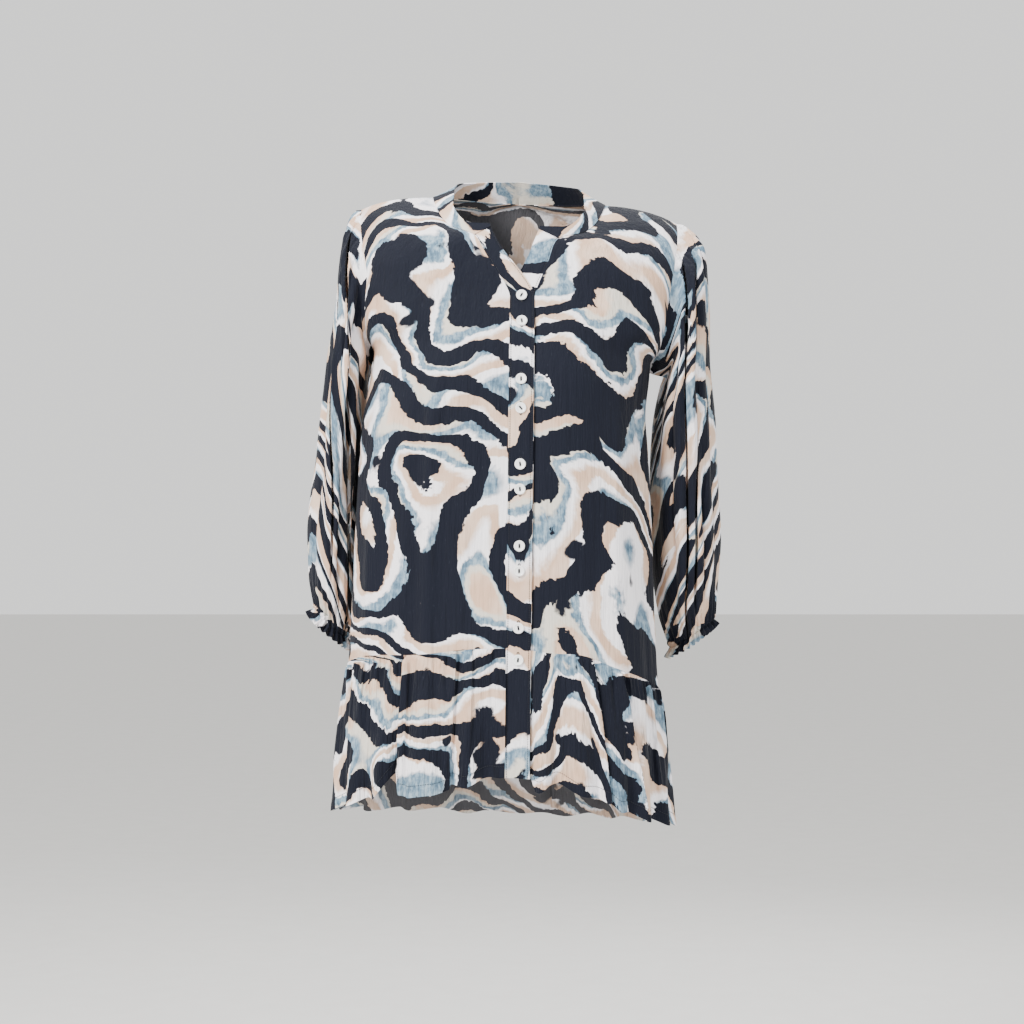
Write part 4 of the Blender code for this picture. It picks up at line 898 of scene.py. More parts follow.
BACK_PLEATS = both_sides(PLEAT_COLUMNS, [
    (0.06, 0.065, 0.0036, 1, 0.9), (0.14, 0.15, 0.0022, -1, 0.35), (0.215, 0.235, 0.0046, 1, 1.15),
    (0.3, 0.305, 0.002, 1, 0.3), (0.375, 0.395, 0.0034, -1, 0.75), (0.46, 0.47, 0.0022, 1, 0.36),
    (0.54, 0.57, 0.0048, -1, 1.15), (0.64, 0.65, 0.0024, 1, 0.42), (0.72, 0.745, 0.0038, 1, 0.95),
    (0.805, 0.815, 0.0022, -1, 0.34), (0.885, 0.905, 0.0032, 1, 0.8),
], [
    (0.045, 0.045, 0.0022, -1, 0.4), (0.12, 0.135, 0.004, 1, 1.1), (0.205, 0.21, 0.002, -1, 0.32),
    (0.285, 0.31, 0.0036, -1, 0.85), (0.37, 0.375, 0.0022, 1, 0.34), (0.45, 0.48, 0.005, 1, 1.2),
    (0.555, 0.56, 0.0022, -1, 0.4), (0.63, 0.655, 0.0036, -1, 0.8), (0.715, 0.72, 0.002, 1, 0.3),
    (0.79, 0.82, 0.0044, 1, 1.1), (0.895, 0.9, 0.0026, -1, 0.5),
])
PLEAT_LEAD = 0.042
PLEAT_DROP = 0.0065
PLEAT_LEAN = 0.62
PLEAT_FOOT = 0.35
PLEAT_ONSET = (-0.02, 0.06)
PLEAT_END = 0.30

# Uneven gathers along the seam, broad and fine: how many fine ones to a broad one, and the ranges of their
# height, reach and half width
FINE_GATHERS = 3
FINE_SEED = 50
BROAD_RANGES = ((0.0014, 0.0034), (0.30, 0.90), (0.007, 0.014))
FINE_RANGES = ((0.0006, 0.0016), (0.10, 0.36), (0.0026, 0.0048))
GATHER_ONSET = (-0.02, 0.07)
GATHER_FALL = 1.6
GATHER_SPREAD = 1.3

# Places where a pleat lifts or drops the hem: place across, rise, reach towards and away from the centre
HEM_STEPS = both_sides("across rise inward outward", [
    (0.407, 0.024, 0.006, 0.135), (0.195, -0.0055, 0.006, 0.1),
], [
    (0.022, -0.0125, 0.022, 0.053), (0.335, 0.003, 0.01, 0.05),
])
HEM_STEP_START = 0.35

# The stitched hem: its width, its line as a share of the ruffle, how far it stands out and how its line sinks
RUFFLE_DEPTH = 0.19
HEM_STITCH = 0.013
HEM_LINE = 1 - HEM_STITCH / RUFFLE_DEPTH
HEM_ONSET = (HEM_LINE - 0.004, HEM_LINE + 0.010)
HEM_THICK = 0.00045
HEM_GROOVE = 0.0005
HEM_GROOVE_WIDTH = 0.006

# The ruffle in front and behind: its body rows, points across, forms, and the draw and number of its gathers
NO_STEPS = {RIGHT: [], LEFT: []}
RUFFLE_FRONT, RUFFLE_BACK = table("first last seam_row fine waves pleats steps seed count dips", [
    (HEM_FRONT, WAIST_FRONT, WAIST_FRONT, 310, RUFFLE_FRONT_WAVES, FRONT_PLEATS, HEM_STEPS, 21, 17, True),
    (WAIST_BACK, HEM_BACK, WAIST_BACK, 270, RUFFLE_BACK_WAVES, BACK_PLEATS, NO_STEPS, 23, 16, False),
])


def pleat_shape(across, down, pleats):
    """Height and sideways lean of the pleats: each rises gently and falls steeply under its own edge."""
    height, lean = (np.zeros((len(down), len(across))) for _ in range(2))
    for pleat in pleats:
        middle = pleat.seam + (pleat.hem - pleat.seam) * down
        off = (across[None, :] - middle[:, None]) * pleat.facing
        run = pleat.height * hump(down, *PLEAT_ONSET, pleat.reach - PLEAT_END, pleat.reach)[:, None]
        foot = PLEAT_FOOT * bell(off - 2 * PLEAT_DROP, PLEAT_DROP)
        height += run * (hump(off, -PLEAT_LEAD, 0.0, 0.0, PLEAT_DROP) - foot)
        lean += pleat.facing * PLEAT_LEAN * run * bell(off, 0.9 * PLEAT_DROP)
    return height, lean


def hem_rise(across, down, steps):
    """Rise of the lower half of a ruffle piece beside its pleats."""
    total = np.zeros(len(across))
    for step in steps:
        total += step.rise * hump(across - step.across, -step.inward, 0.0, 0.0, step.outward)
    return np.outer(ease(down, HEM_STEP_START, 1.0), total)


def gathers(seed, count, height, reach, half_width):
    """Uneven gathers set side by side along the seam."""
    draw = np.random.default_rng(seed)
    return [Gather((i + draw.uniform(0.15, 0.85)) / count, draw.uniform(*half_width),
                   draw.uniform(*height) * (1 if i % 2 else -1), draw.uniform(*reach)) for i in range(count)]


def gather_height(across, down, rows_of_gathers):
    """Height of the gathers over a ruffle piece."""
    total = np.zeros((len(down), len(across)))
    for gather in rows_of_gathers:
        run = np.clip(1 - (down / gather.reach) ** GATHER_FALL, 0, 1) * ease(down, *GATHER_ONSET)
        widening = gather.half_width * (1 + GATHER_SPREAD * down)
        total += gather.height * run[:, None] * bell(across[None, :] - gather.across, widening[:, None])
    return total


def ruffle_half(part, side):
    """Half a ruffle piece with its pleats and gathers, and the length of cloth they take up."""
    rows = fine_places(part.first, part.last, RUFFLE_SHARE)
    down = np.abs(rows - part.seam_row)
    across = np.linspace(0, 1, part.fine + 1)
    base, outward = ruffle_points(rows, down, across, side, part.waves[side])
    base[..., 2] += hem_rise(across, down, part.steps[side])
    held = inside(across, HELD_EDGE)[None, :]
    seed = part.seed + (side == LEFT)
    uneven = gathers(seed, part.count, *BROAD_RANGES)
    uneven += gathers(seed + FINE_SEED, part.count * FINE_GATHERS, *FINE_RANGES)
    pleated, lean = pleat_shape(across, down, part.pleats[side])
    hem = HEM_THICK * ease(down, *HEM_ONSET) - HEM_GROOVE * bell(down - HEM_LINE, HEM_GROOVE_WIDTH)
    height = (gather_height(across, down, uneven) + pleated) * held + hem[:, None]
    if part.dips and side == LEFT:
        height -= RUFFLE_DIP * np.outer(ease(down, 0.0, HEM_STEP_START), bell(across, DIP_REACH))
    grid = raised(raised(base, outward, height), unit(np.gradient(base, axis=1)), lean * held)
    return grid, lengths(base, 1), lengths(grid, 1) - lengths(base, 1)


def make_ruffles():
    for side, word in SIDES:
        grid, run, taken = ruffle_half(RUFFLE_FRONT, side)
        v = lengths(grid, 0)
        uv = np.stack([side * (HALF_PLACKET + run[:1] + taken), v - v[-1:]], axis=-1)
        cloth_piece("peplum_front_" + word, "ruffle", "ruffle_front_" + word, grid, uv, side)
    halves = []
    for side in (RIGHT, LEFT):
        grid, run, taken = ruffle_half(RUFFLE_BACK, side)
        halves.append((grid, np.stack([side * (run[-1:] + taken), -lengths(grid, 0)], axis=-1)))
    cloth_halves("peplum_back", "ruffle", "ruffle_back", halves, np.ones(len(grid), bool))


# Stitch lines of the bands, as shares of their width, and the grooves and puckers that the stitches draw in
STITCH_LINES = (0.07, 0.93)
GROOVE_WIDTH = 0.035
GROOVE_DEPTH = 0.00055
PUCKER_DEPTH = 0.00016
PUCKER_STEP = 0.0085
PUCKER_DRIFT = 31
PUCKER_BETWEEN = 0.35


def make_bands():
    rows = fine_places(HEM_FRONT, COLLAR_CORNER, BAND_SHARE)
    across = np.linspace(0, 1, BAND_FINE + 1)
    groove = sum(bell(across - line, GROOVE_WIDTH) for line in STITCH_LINES)[None, :]
    for side, word in ((RIGHT, "over"), (LEFT, "under")):
        grid = band_points(rows, across, side)
        v = lengths(grid, 0)
        run = v[:, :1]
        pucker = PUCKER_DEPTH * np.sin(run * 2 * np.pi / PUCKER_STEP + 2 * np.sin(run * PUCKER_DRIFT))
        height = pucker * (PUCKER_BETWEEN + (1 - PUCKER_BETWEEN) * groove) - GROOVE_DEPTH * groove
        uv = np.stack([np.broadcast_to(across * PLACKET_WIDTH, v.shape), v], axis=-1)
        grid = raised(grid, normals(grid, -side), height)
        cloth_piece("placket_" + word, "band", "band_" + word, grid, uv, -side, doubled=True)


def make_collar():
    right, left = collar_half(RIGHT), collar_half(LEFT)
    middle = right[-1:] * np.array([0, 1, 1])
    grid = np.concatenate([right[:-1], middle, left[:-1][::-1]])
    v = lengths(grid, 1)
    uv = np.stack([np.broadcast_to(lengths(grid[:, :1], 0), v.shape), v], axis=-1)
    cloth_piece("neck_band", "collar", "collar", grid, uv, RIGHT, doubled=True)


# Small pleats where the sleeve is gathered into the armhole: place around, half width, height, reach along
HEAD_PLEATS = table(Gather, [
    (0.3, 0.008, 0.0016, 0.16), (0.335, 0.007, -0.002, 0.2), (0.365, 0.008, 0.0026, 0.26),
    (0.395, 0.006, -0.0024, 0.18), (0.425, 0.008, 0.0028, 0.3), (0.455, 0.006, -0.0026, 0.22),
    (0.485, 0.008, 0.003, 0.28), (0.515, 0.006, -0.0026, 0.2), (0.545, 0.008, 0.0028, 0.3),
    (0.575, 0.006, -0.0024, 0.2), (0.605, 0.008, 0.0026, 0.24), (0.64, 0.007, -0.002, 0.18),
    (0.675, 0.008, 0.0018, 0.16),
])
HEAD_PLEAT_ONSET = (0.0, 0.02)
HEAD_PLEAT_FALL = 1.5

# Sleeve: its width on the cloth, where the push away from the body sets in, the closer points over its
# front, and its creases: ranges of place, half length, half width, slope and height
SLEEVE_WIDTH = 0.40
PUSH_START = (0.02, 0.14)
CLOSER = (0.04, 0.09, 0.44, 0.50)
CLOSER_BY = 0.9
EVEN_PLACES = 401
SLEEVE_SEED = 31
SLEEVE_COUNT = 60
SLEEVE_CREASES = ((0.02, SLEEVE_WIDTH - 0.02), (-0.46, -0.02), (0.03, 0.12), (0.003, 0.008), (-0.10, 0.10),
                  (0.0003, 0.0012))
SLEEVE_ENDS = (0.02, 0.08, 0.95, 1.0)
SLEEVE_SEAM = 0.02

# Wrist and cuff: gathers of the sleeve (height, start), waves of the cuff and of its frill, and the elastic
# casing above its stitch line
WRIST_WAVES = 29
WRIST_GATHERS = ((0.0011, 0.80), (0.0004, 0.93))
CUFF_WIDTH = 0.30
CUFF_WAVE = 0.0010
FRILL_WAVE = 0.0013
FRILL_START = 0.45
CASING_END = 0.46
CASING_RISE = 0.0012
CASING_LINE = 0.48
CASING_LINE_WIDTH = 0.05
CUFF_JOIN = 0.8

# Sharp troughs down the sleeves: places around on six rows, depth, half width, lean of the lip, and reach.
# Each has a low ridge on both sides and a lip that leans over it; the deep ones go straight in.
TROUGH_ROWS = (0.0, 0.12, 0.25, 0.41, 0.70, 1.0)
SLEEVE_TROUGHS = both_sides("seam cap arm elbow fore wrist depth half_width lean start end", [
    (0.4, 0.335, 0.24, 0.172, 0.146, 0.112, 0.023, 0.0096, -1, 0.01, 1.04),
    (0.46, 0.44, 0.4, 0.34, 0.252, 0.225, 0.0165, 0.0078, -1, 0.22, 0.88),
    (0.3, 0.24, 0.165, 0.12, 0.095, 0.075, 0.0044, 0.005, 1, 0.3, 0.92),
    (0.47, 0.4, 0.31, 0.255, 0.205, 0.18, 0.0034, 0.0052, -1, 0.0, 0.46),
    (0.33, 0.32, 0.3, 0.27, 0.2, 0.17, 0.0038, 0.0052, 1, 0.52, 1.02),
    (0.52, 0.52, 0.525, 0.53, 0.525, 0.52, 0.004, 0.006, 1, 0.35, 0.95),
    (0.6, 0.602, 0.606, 0.612, 0.62, 0.625, 0.0056, 0.0058, 1, 0.03, 0.8),
    (0.69, 0.692, 0.697, 0.7, 0.704, 0.706, 0.0044, 0.0056, -1, 0.28, 1.0),
    (0.77, 0.771, 0.773, 0.776, 0.78, 0.784, 0.006, 0.0058, 1, 0.03, 0.66),
    (0.85, 0.852, 0.855, 0.859, 0.867, 0.874, 0.0046, 0.0056, -1, 0.3, 1.0),
    (0.92, 0.921, 0.923, 0.926, 0.93, 0.933, 0.0034, 0.006, 1, 0.08, 0.55),
], [
    (0.34, 0.215, 0.228, 0.245, 0.236, 0.202, 0.023, 0.0078, 1, 0.0, 1.04),
    (0.4, 0.335, 0.322, 0.318, 0.277, 0.264, 0.0165, 0.0074, 1, 0.04, 0.96),
    (0.18, 0.16, 0.15, 0.155, 0.165, 0.15, 0.0044, 0.0052, -1, 0.26, 0.84),
    (0.44, 0.405, 0.385, 0.378, 0.35, 0.34, 0.004, 0.0054, 1, 0.02, 0.55),
    (0.42, 0.4, 0.39, 0.385, 0.33, 0.315, 0.004, 0.0054, -1, 0.56, 1.0),
    (0.5, 0.501, 0.503, 0.505, 0.503, 0.5, 0.0036, 0.006, 1, 0.03, 0.5),
    (0.575, 0.577, 0.581, 0.585, 0.588, 0.59, 0.0052, 0.0058, -1, 0.06, 0.9),
    (0.655, 0.656, 0.658, 0.66, 0.656, 0.65, 0.004, 0.0056, 1, 0.4, 1.0),
    (0.735, 0.737, 0.741, 0.745, 0.748, 0.75, 0.0058, 0.0058, 1, 0.03, 0.72),
    (0.815, 0.816, 0.818, 0.821, 0.826, 0.83, 0.0044, 0.0056, -1, 0.25, 1.0),
    (0.9, 0.901, 0.903, 0.905, 0.903, 0.9, 0.0036, 0.006, 1, 0.06, 0.6),
])
TROUGH_LEAN = 0.19
TROUGH_ONSET = 0.10
TROUGH_END = 0.16
RIDGE_SHARE = 0.20
RIDGE_PLACE = 3.6
RIDGE_WIDTH = 1.8
LIP_PLACE = 1.7
LIP_LIMIT = 0.0105
DEEP_ASIDE = 0.075


def trough_shape(along, around, troughs):
    """Depth of the sharp troughs, how far the lip of each leans over it, and the deep ones apart."""
    depth, lean, deep = (np.zeros((len(along), len(around))) for _ in range(3))
    for trough in troughs:
        line = smooth(TROUGH_ROWS, trough[:len(TROUGH_ROWS)], along)
        off = (around[None, :] - line) / trough.half_width
        start, end = trough.start, trough.end
        run = hump(along, start, start + TROUGH_ONSET, end - TROUGH_END, end)[:, None]
        lip = min(trough.depth, LIP_LIMIT) * run
        (deep if trough.depth > LIP_LIMIT else depth)[:] += trough.depth * run * np.exp(-off ** 4)
        depth -= RIDGE_SHARE * lip * bell(np.abs(off) - RIDGE_PLACE, RIDGE_WIDTH)
        lean += lip * TROUGH_LEAN * trough.lean * bell(off * trough.lean + LIP_PLACE, 1.0)
    return depth, lean, deep


def sleeve_places():
    """Places round a sleeve, set closer over its front."""
    even = np.linspace(0, 1, EVEN_PLACES)
    weight = 1 + CLOSER_BY * hump(even, *CLOSER)
    run = np.concatenate([[0], np.cumsum((weight[1:] + weight[:-1]) / 2)])
    return np.interp(np.linspace(0, 1, SLEEVE_AROUND + 1), run / run[-1], even)


def wrist_wave(around, phase):
    """Uneven gathers round the wrist."""
    turn = 2 * np.pi * around
    return np.sin(WRIST_WAVES * turn + 1.6 * np.sin(3 * turn + phase)) * (1 + 0.35 * np.sin(5 * turn + phase))


def sleeve_grid(along, around, side, tree):
    """Points of a sleeve that keep clear of the body, and the depth of its broad folds."""
    rows = np.interp(around, [0, 0.5, 1], [UNDERARM_FRONT, SHOULDER, UNDERARM_BACK])
    edge = body_points(rows, [0.96, 1.0], side)
    seam, facing = edge[:, 1], normals(edge, side)[:, 1]
    head = seam + head_direction(around, facing, side) * HEAD_LENGTH
    loops = [seam, head] + [section_loop(row, around, side) for row in SLEEVE_TABLE]
    knots = [0.0, HEAD_ALONG] + [row.along for row in SLEEVE_TABLE]
    grid = smooth(knots, np.array(loops), along).reshape(len(along), len(around), 3)
    grid = push_clear(grid, tree, ease(along, *PUSH_START))
    depth = np.zeros(grid.shape[:2])
    for fold in SLEEVE_FOLDS[side]:
        away = np.abs(around - fold.around)
        run = hump(along, fold.start, fold.start + FOLD_FADE, fold.end - FOLD_RELEASE, fold.end)
        depth += fold.depth * np.outer(run, bell(np.minimum(away, 1 - away), fold.width))
    for pleat in HEAD_PLEATS:
        run = np.clip(1 - (along / pleat.reach) ** HEAD_PLEAT_FALL, 0, 1) * ease(along, *HEAD_PLEAT_ONSET)
        depth -= pleat.height * np.outer(run, bell(around - pleat.across, pleat.half_width))
    gather = sum(height * ease(along, start, 1.0) for height, start in WRIST_GATHERS)
    return grid, depth - np.outer(gather, wrist_wave(around, side))


def make_sleeve(side, word, seed, along, around, tree):
    """One sleeve and the grid of its points."""
    grid, depth = sleeve_grid(along, around, side, tree)
    v = -lengths(grid, 0)
    flat = np.stack([np.broadcast_to(around * SLEEVE_WIDTH, v.shape), v], axis=-1)
    creases = scattered(seed, SLEEVE_COUNT, *SLEEVE_CREASES)
    fade = np.outer(hump(along, *SLEEVE_ENDS), inside(around, SLEEVE_SEAM))
    sharp, lean, deep = trough_shape(along, around, SLEEVE_TROUGHS[side])
    facing = normals(grid, -side, closed=True)
    broad = raised(grid, facing, crease_height(flat, creases) * fade - depth)
    sleeve = raised(raised(broad, facing, -sharp), unit(np.gradient(grid, axis=1)), lean)
    sleeve = raised(sleeve, np.array([DEEP_ASIDE * side, 1.0, 0.0]), deep)
    run = lengths(grid, 1) + lengths(sleeve, 1) - lengths(broad, 1)
    centre = int(np.argmin(np.abs(around - 0.5)))
    uv = np.stack([run - run[:, centre:centre + 1], v], axis=-1)
    cloth_piece("sleeve_shell_" + word, "sleeve", "sleeve_" + word, sleeve, uv, -side, closed=True)
    return sleeve


def make_cuff(side, word, around, wrist):
    """A cuff: the elastic casing above and the frill below, from the sleeve's last row down."""
    down = np.linspace(0, 1, CUFF_DOWN + 1)
    loops = [section_loop(row, around, side) for row in CUFF_TABLE]
    cuff = smooth([row.along for row in CUFF_TABLE], loops, down).reshape(len(down), len(around), 3)
    out = np.outer(CUFF_WAVE + FRILL_WAVE * ease(down, FRILL_START, 1.0), wrist_wave(around, side))
    casing = np.sin(np.pi * np.clip(down / CASING_END, 0, 1)) - bell(down - CASING_LINE, CASING_LINE_WIDTH)
    cuff = raised(cuff, normals(cuff, -side, closed=True), out + CASING_RISE * casing[:, None])
    cuff = cuff + (wrist - cuff[0]) * (1 - ease(down, 0, CUFF_JOIN))[:, None, None]
    v = -lengths(cuff, 0)
    uv = np.stack([np.broadcast_to(around * CUFF_WIDTH, v.shape), v], axis=-1)
    cloth_piece("cuff_shell_" + word, "cuff", "cuff_" + word, cuff, uv, -side, closed=True)


def make_sleeves():
    tree = body_tree()
    around = sleeve_places()
    along = np.concatenate([[0, HEAD_ALONG / 2], np.linspace(HEAD_ALONG, 1, SLEEVE_DOWN)])
    for seed, (side, word) in enumerate(SIDES, SLEEVE_SEED):
        sleeve = make_sleeve(side, word, seed, along, around, tree)
        make_cuff(side, word, around, sleeve[-1])


# Topstitching: spacing, length and thickness of the stitches, and how deep they lie on a band
STITCH_PITCH = 0.0027
STITCH_LENGTH = 0.0020
STITCH_RADIUS = 0.00036
STITCH_SINK = 0.0003
STITCH_RISE = 0.45
STITCH_STEP = 1e-4

# Rings of one stitch (place along it, share of its thickness) and the four points of each ring
STITCH_ENDS = np.array([(-0.5, 0.35), (-0.25, 1.0), (0.25, 1.0), (0.5, 0.35)])
STITCH_RING = np.array([(1, 0), (0, 1), (-1, 0), (0, -1)], float)


def read_along(values, run, at):
    """Points of a line, read at lengths along it."""
    return np.stack([np.interp(at, run, values[:, i]) for i in range(3)], axis=-1)


def tube_faces(rings, sides):
    """Quads between rings of vertices, and a face over each end."""
    faces = ring_faces(rings, sides)
    return faces + [tuple(reversed(range(sides))), tuple((rings - 1) * sides + c for c in range(sides))]


def ring_faces(rings, sides):
    """Quads between closed rings of vertices."""
    faces = []
    for start in range(0, (rings - 1) * sides, sides):
        for c in range(sides):
            a, b = start + c, start + (c + 1) % sides
            faces.append((a, b, b + sides, a + sides))
    return faces


def repeated(faces, shift, count):
    """Faces of several like bodies whose vertices follow each other."""
    return [tuple(i + shift * number for i in face) for number in range(count) for face in faces]


def stitched(name, lines, slot):
    """Rows of short thread stitches laid along lines of points with their outward normals."""
    made = []
    for points, facing in lines:
        run = np.concatenate([[0], np.cumsum(np.linalg.norm(np.diff(points, axis=0), axis=1))])
        middles = np.arange(STITCH_PITCH / 2, run[-1], STITCH_PITCH)[:, None]
        at = np.clip(middles + STITCH_ENDS[:, 0] * STITCH_LENGTH, 0, run[-1])
        out = read_along(facing, run, at)
        ahead = read_along(points, run, at + STITCH_STEP) - read_along(points, run, at - STITCH_STEP)
        sideways = unit(np.cross(ahead, out))
        place = read_along(points, run, at) + out * STITCH_RADIUS * STITCH_RISE
        reach = (STITCH_ENDS[:, 1, None, None] * STITCH_RING * STITCH_RADIUS)[..., None]
        place, sideways, out = (values[:, :, None] for values in (place, sideways, out))
        made.append(place + sideways * reach[:, :, 0] + out * reach[:, :, 1])
    points = np.concatenate(made)
    rings, sides = len(STITCH_ENDS), len(STITCH_RING)
    faces = repeated(tube_faces(rings, sides), rings * sides, len(points))
    add_piece(name, smooth_mesh(name, points, faces, thread), slot)


def hem_line(grid, from_hem, side):
    """Points and normals at the hem's stitch line."""
    both = np.concatenate([grid, normals(grid, side)], axis=2)
    line = []
    for c in range(grid.shape[1]):
        order = np.argsort(from_hem[:, c])
        line.append([np.interp(HEM_STITCH, from_hem[order, c], both[order, c, i]) for i in range(6)])
    line = np.array(line)
    return line[:, :3], line[:, 3:]


def make_stitching():
    rows = fine_places(HEM_FRONT, COLLAR_CORNER, COLLAR_SHARE)
    edges, hems = [], []
    for side in (RIGHT, LEFT):
        grid = band_points(rows, [0.0, STITCH_LINES[0], 0.5, STITCH_LINES[1], 1.0], side)
        facing = normals(grid, -side)
        columns = (1, 3) if side == RIGHT else (1,)
        edges += [(grid[:, c] - facing[:, c] * STITCH_SINK, facing[:, c]) for c in columns]
        grid = ruffle_half(RUFFLE_FRONT, side)[0]
        hems.append(hem_line(grid, lengths(grid, 0), side))
        grid = ruffle_half(RUFFLE_BACK, side)[0]
        run = lengths(grid, 0)
        hems.append(hem_line(grid, run[-1:] - run, side))
    stitched("placket_stitching", edges, "band")
    stitched("hem_stitching", hems, "ruffle")


# A button: its sewing holes, its raised rim (shares of the radius where it starts and rounds off), the edge
# under the rim as shares of radius and thickness, its rings and its points around
HOLE_OFFSET = 0.0020
HOLE_EDGE = (0.00072, 0.00112)
HOLE_DEPTH = 0.0013
RIM_RISE = 0.30
RIM_START = (0.60, 0.76)
RIM_FALL = 0.42
RIM_END = (0.90, 1.0)
RIM_ROUND = 1.6
BUTTON_EDGE = np.array([(1.0, 0.36), (0.96, 0.10), (0.88, 0.0)])
BUTTON_FACE = 0.70
BUTTON_INNER = 0.45
BUTTON_RINGS = 15
BUTTON_AROUND = 56


def button_height(x, y):
    """Height of a button's face: a dished middle, a rounded rim and two sewing holes."""
    share = np.hypot(x, y) / (BUTTON_DIAMETER / 2)
    dish = BUTTON_FACE + RIM_RISE * ease(share, *RIM_START) - RIM_FALL * ease(share, *RIM_END) ** RIM_ROUND
    holes = [1 - ease(np.hypot(x, y - offset), *HOLE_EDGE) for offset in (-HOLE_OFFSET, HOLE_OFFSET)]
    return dish * BUTTON_THICKNESS - HOLE_DEPTH * holes[0] - HOLE_DEPTH * holes[1]


def button_shell():
    """A turned two-hole button standing on z = 0, its holes one above the other."""
    near, far = (np.linspace(*ends, BUTTON_RINGS)[1:] for ends in ((0, BUTTON_INNER), (BUTTON_INNER, 1.0)))
    reach = BUTTON_DIAMETER / 2 * np.concatenate([near, far, BUTTON_EDGE[:, 0]])
    turn = 2 * np.pi * np.arange(BUTTON_AROUND) / BUTTON_AROUND
    x, y = np.outer(reach, np.cos(turn)), np.outer(reach, np.sin(turn))
    z = button_height(x, y)
    z[-len(BUTTON_EDGE):] = BUTTON_THICKNESS * BUTTON_EDGE[:, 1:]
    centre = [[0, 0, float(button_height(0.0, 0.0))]]
    points = np.concatenate([np.stack([x, y, z], axis=-1).reshape(-1, 3), centre])
    faces = [(a, d, c, b) for a, b, c, d in ring_faces(len(reach), BUTTON_AROUND)]
    faces += [(c, (c + 1) % BUTTON_AROUND, x.size) for c in range(BUTTON_AROUND)]
    faces.append(tuple(x.size - 1 - c for c in range(BUTTON_AROUND)))
    mesh = smooth_mesh("button_shell", points, faces, button_white)
    mesh.set_sharp_from_angle(angle=math.radians(SHARP_BUTTON))
    return mesh


# The strands of thread over a button: places across, their points and sides, thickness, rise over the
# middle, drop at the holes, and how far they reach past the middle of a hole
STRANDS = (-0.00072, -0.00024, 0.00024, 0.00072)
STRAND_POINTS = 13
STRAND_SIDES = 6
STRAND_RADIUS = 0.00035
STRAND_RISE = 0.00052
STRAND_DROP = 0.0011
STRAND_BEND = 6
STRAND_SPREAD = 0.3
STRAND_REACH = 1.02


def strand(shift):
    """Rings of a round thread that bends from hole to hole over the middle of a button."""
    turn = np.linspace(-1, 1, STRAND_POINTS)
    rise = STRAND_RISE - STRAND_DROP * np.abs(turn) ** STRAND_BEND - abs(shift) * STRAND_SPREAD
    z = BUTTON_THICKNESS * BUTTON_FACE + rise
    points = np.stack([np.full(STRAND_POINTS, shift), turn * HOLE_OFFSET * STRAND_REACH, z], axis=-1)
    ahead = unit(np.gradient(points, axis=0))
    first = unit(np.cross(ahead, (0.13, 0.21, 0.97)))
    angle = (2 * np.pi * np.arange(STRAND_SIDES) / STRAND_SIDES)[None, :, None]
    round_it = np.cos(angle) * first[:, None] + np.sin(angle) * np.cross(ahead, first)[:, None]
    return points[:, None] + STRAND_RADIUS * round_it


def thread_mesh():
    """Strands of sewing thread from hole to hole over the middle of a button."""
    faces = repeated(tube_faces(STRAND_POINTS, STRAND_SIDES), STRAND_POINTS * STRAND_SIDES, len(STRANDS))
    return smooth_mesh("button_thread", np.array([strand(shift) for shift in STRANDS]), faces, thread)


# A buttonhole: its length and width, its stitches, and the section of their bead, across and up
BUTTONHOLE_LENGTH = 0.0150
BUTTONHOLE_WIDTH = 0.0021
BUTTONHOLE_STITCHES = 88
BEAD = ((-0.5, 0.0), (-0.35, 0.55), (0.0, 0.8), (0.35, 0.55), (0.5, 0.0))
BEAD_WIDTH = 0.0011
BEAD_HEIGHT = 0.00055
BEAD_TURN = 0.35
SHORT_STITCH = 0.72
SLIT_SQUARE = 8


def buttonhole_mesh():
    """A worked upright buttonhole: a ring of satin stitches round a narrow slit."""
    half = BUTTONHOLE_LENGTH / 2 - BUTTONHOLE_WIDTH / 2
    count = np.arange(BUTTONHOLE_STITCHES)
    turn = 2 * np.pi * count / BUTTONHOLE_STITCHES
    middle = np.stack([np.cos(turn), np.sin(turn)], axis=-1) * BUTTONHOLE_WIDTH / 2
    middle[:, 1] += np.clip(np.sin(turn) * SLIT_SQUARE, -1, 1) * half
    out = unit(np.stack([np.cos(turn), np.sin(turn) * BEAD_TURN], axis=-1)) * BEAD_WIDTH
    swell = BEAD_HEIGHT * np.where(count % 2, 1.0, SHORT_STITCH)
    rings = [np.column_stack([middle + out * across, up * swell]) for across, up in BEAD]
    return smooth_mesh("buttonhole", np.array(rings), ring_faces(len(BEAD), BUTTONHOLE_STITCHES), thread)


# How far each button is turned on its thread, in degrees, from the top down
BUTTON_TURNS = (-30, 12, 2, 40, 8, 6, 0, -2, 10, -8)
BAND_ROWS = 400
LOOK_ASIDE = 8
HOLE_LIFT = 0.00002


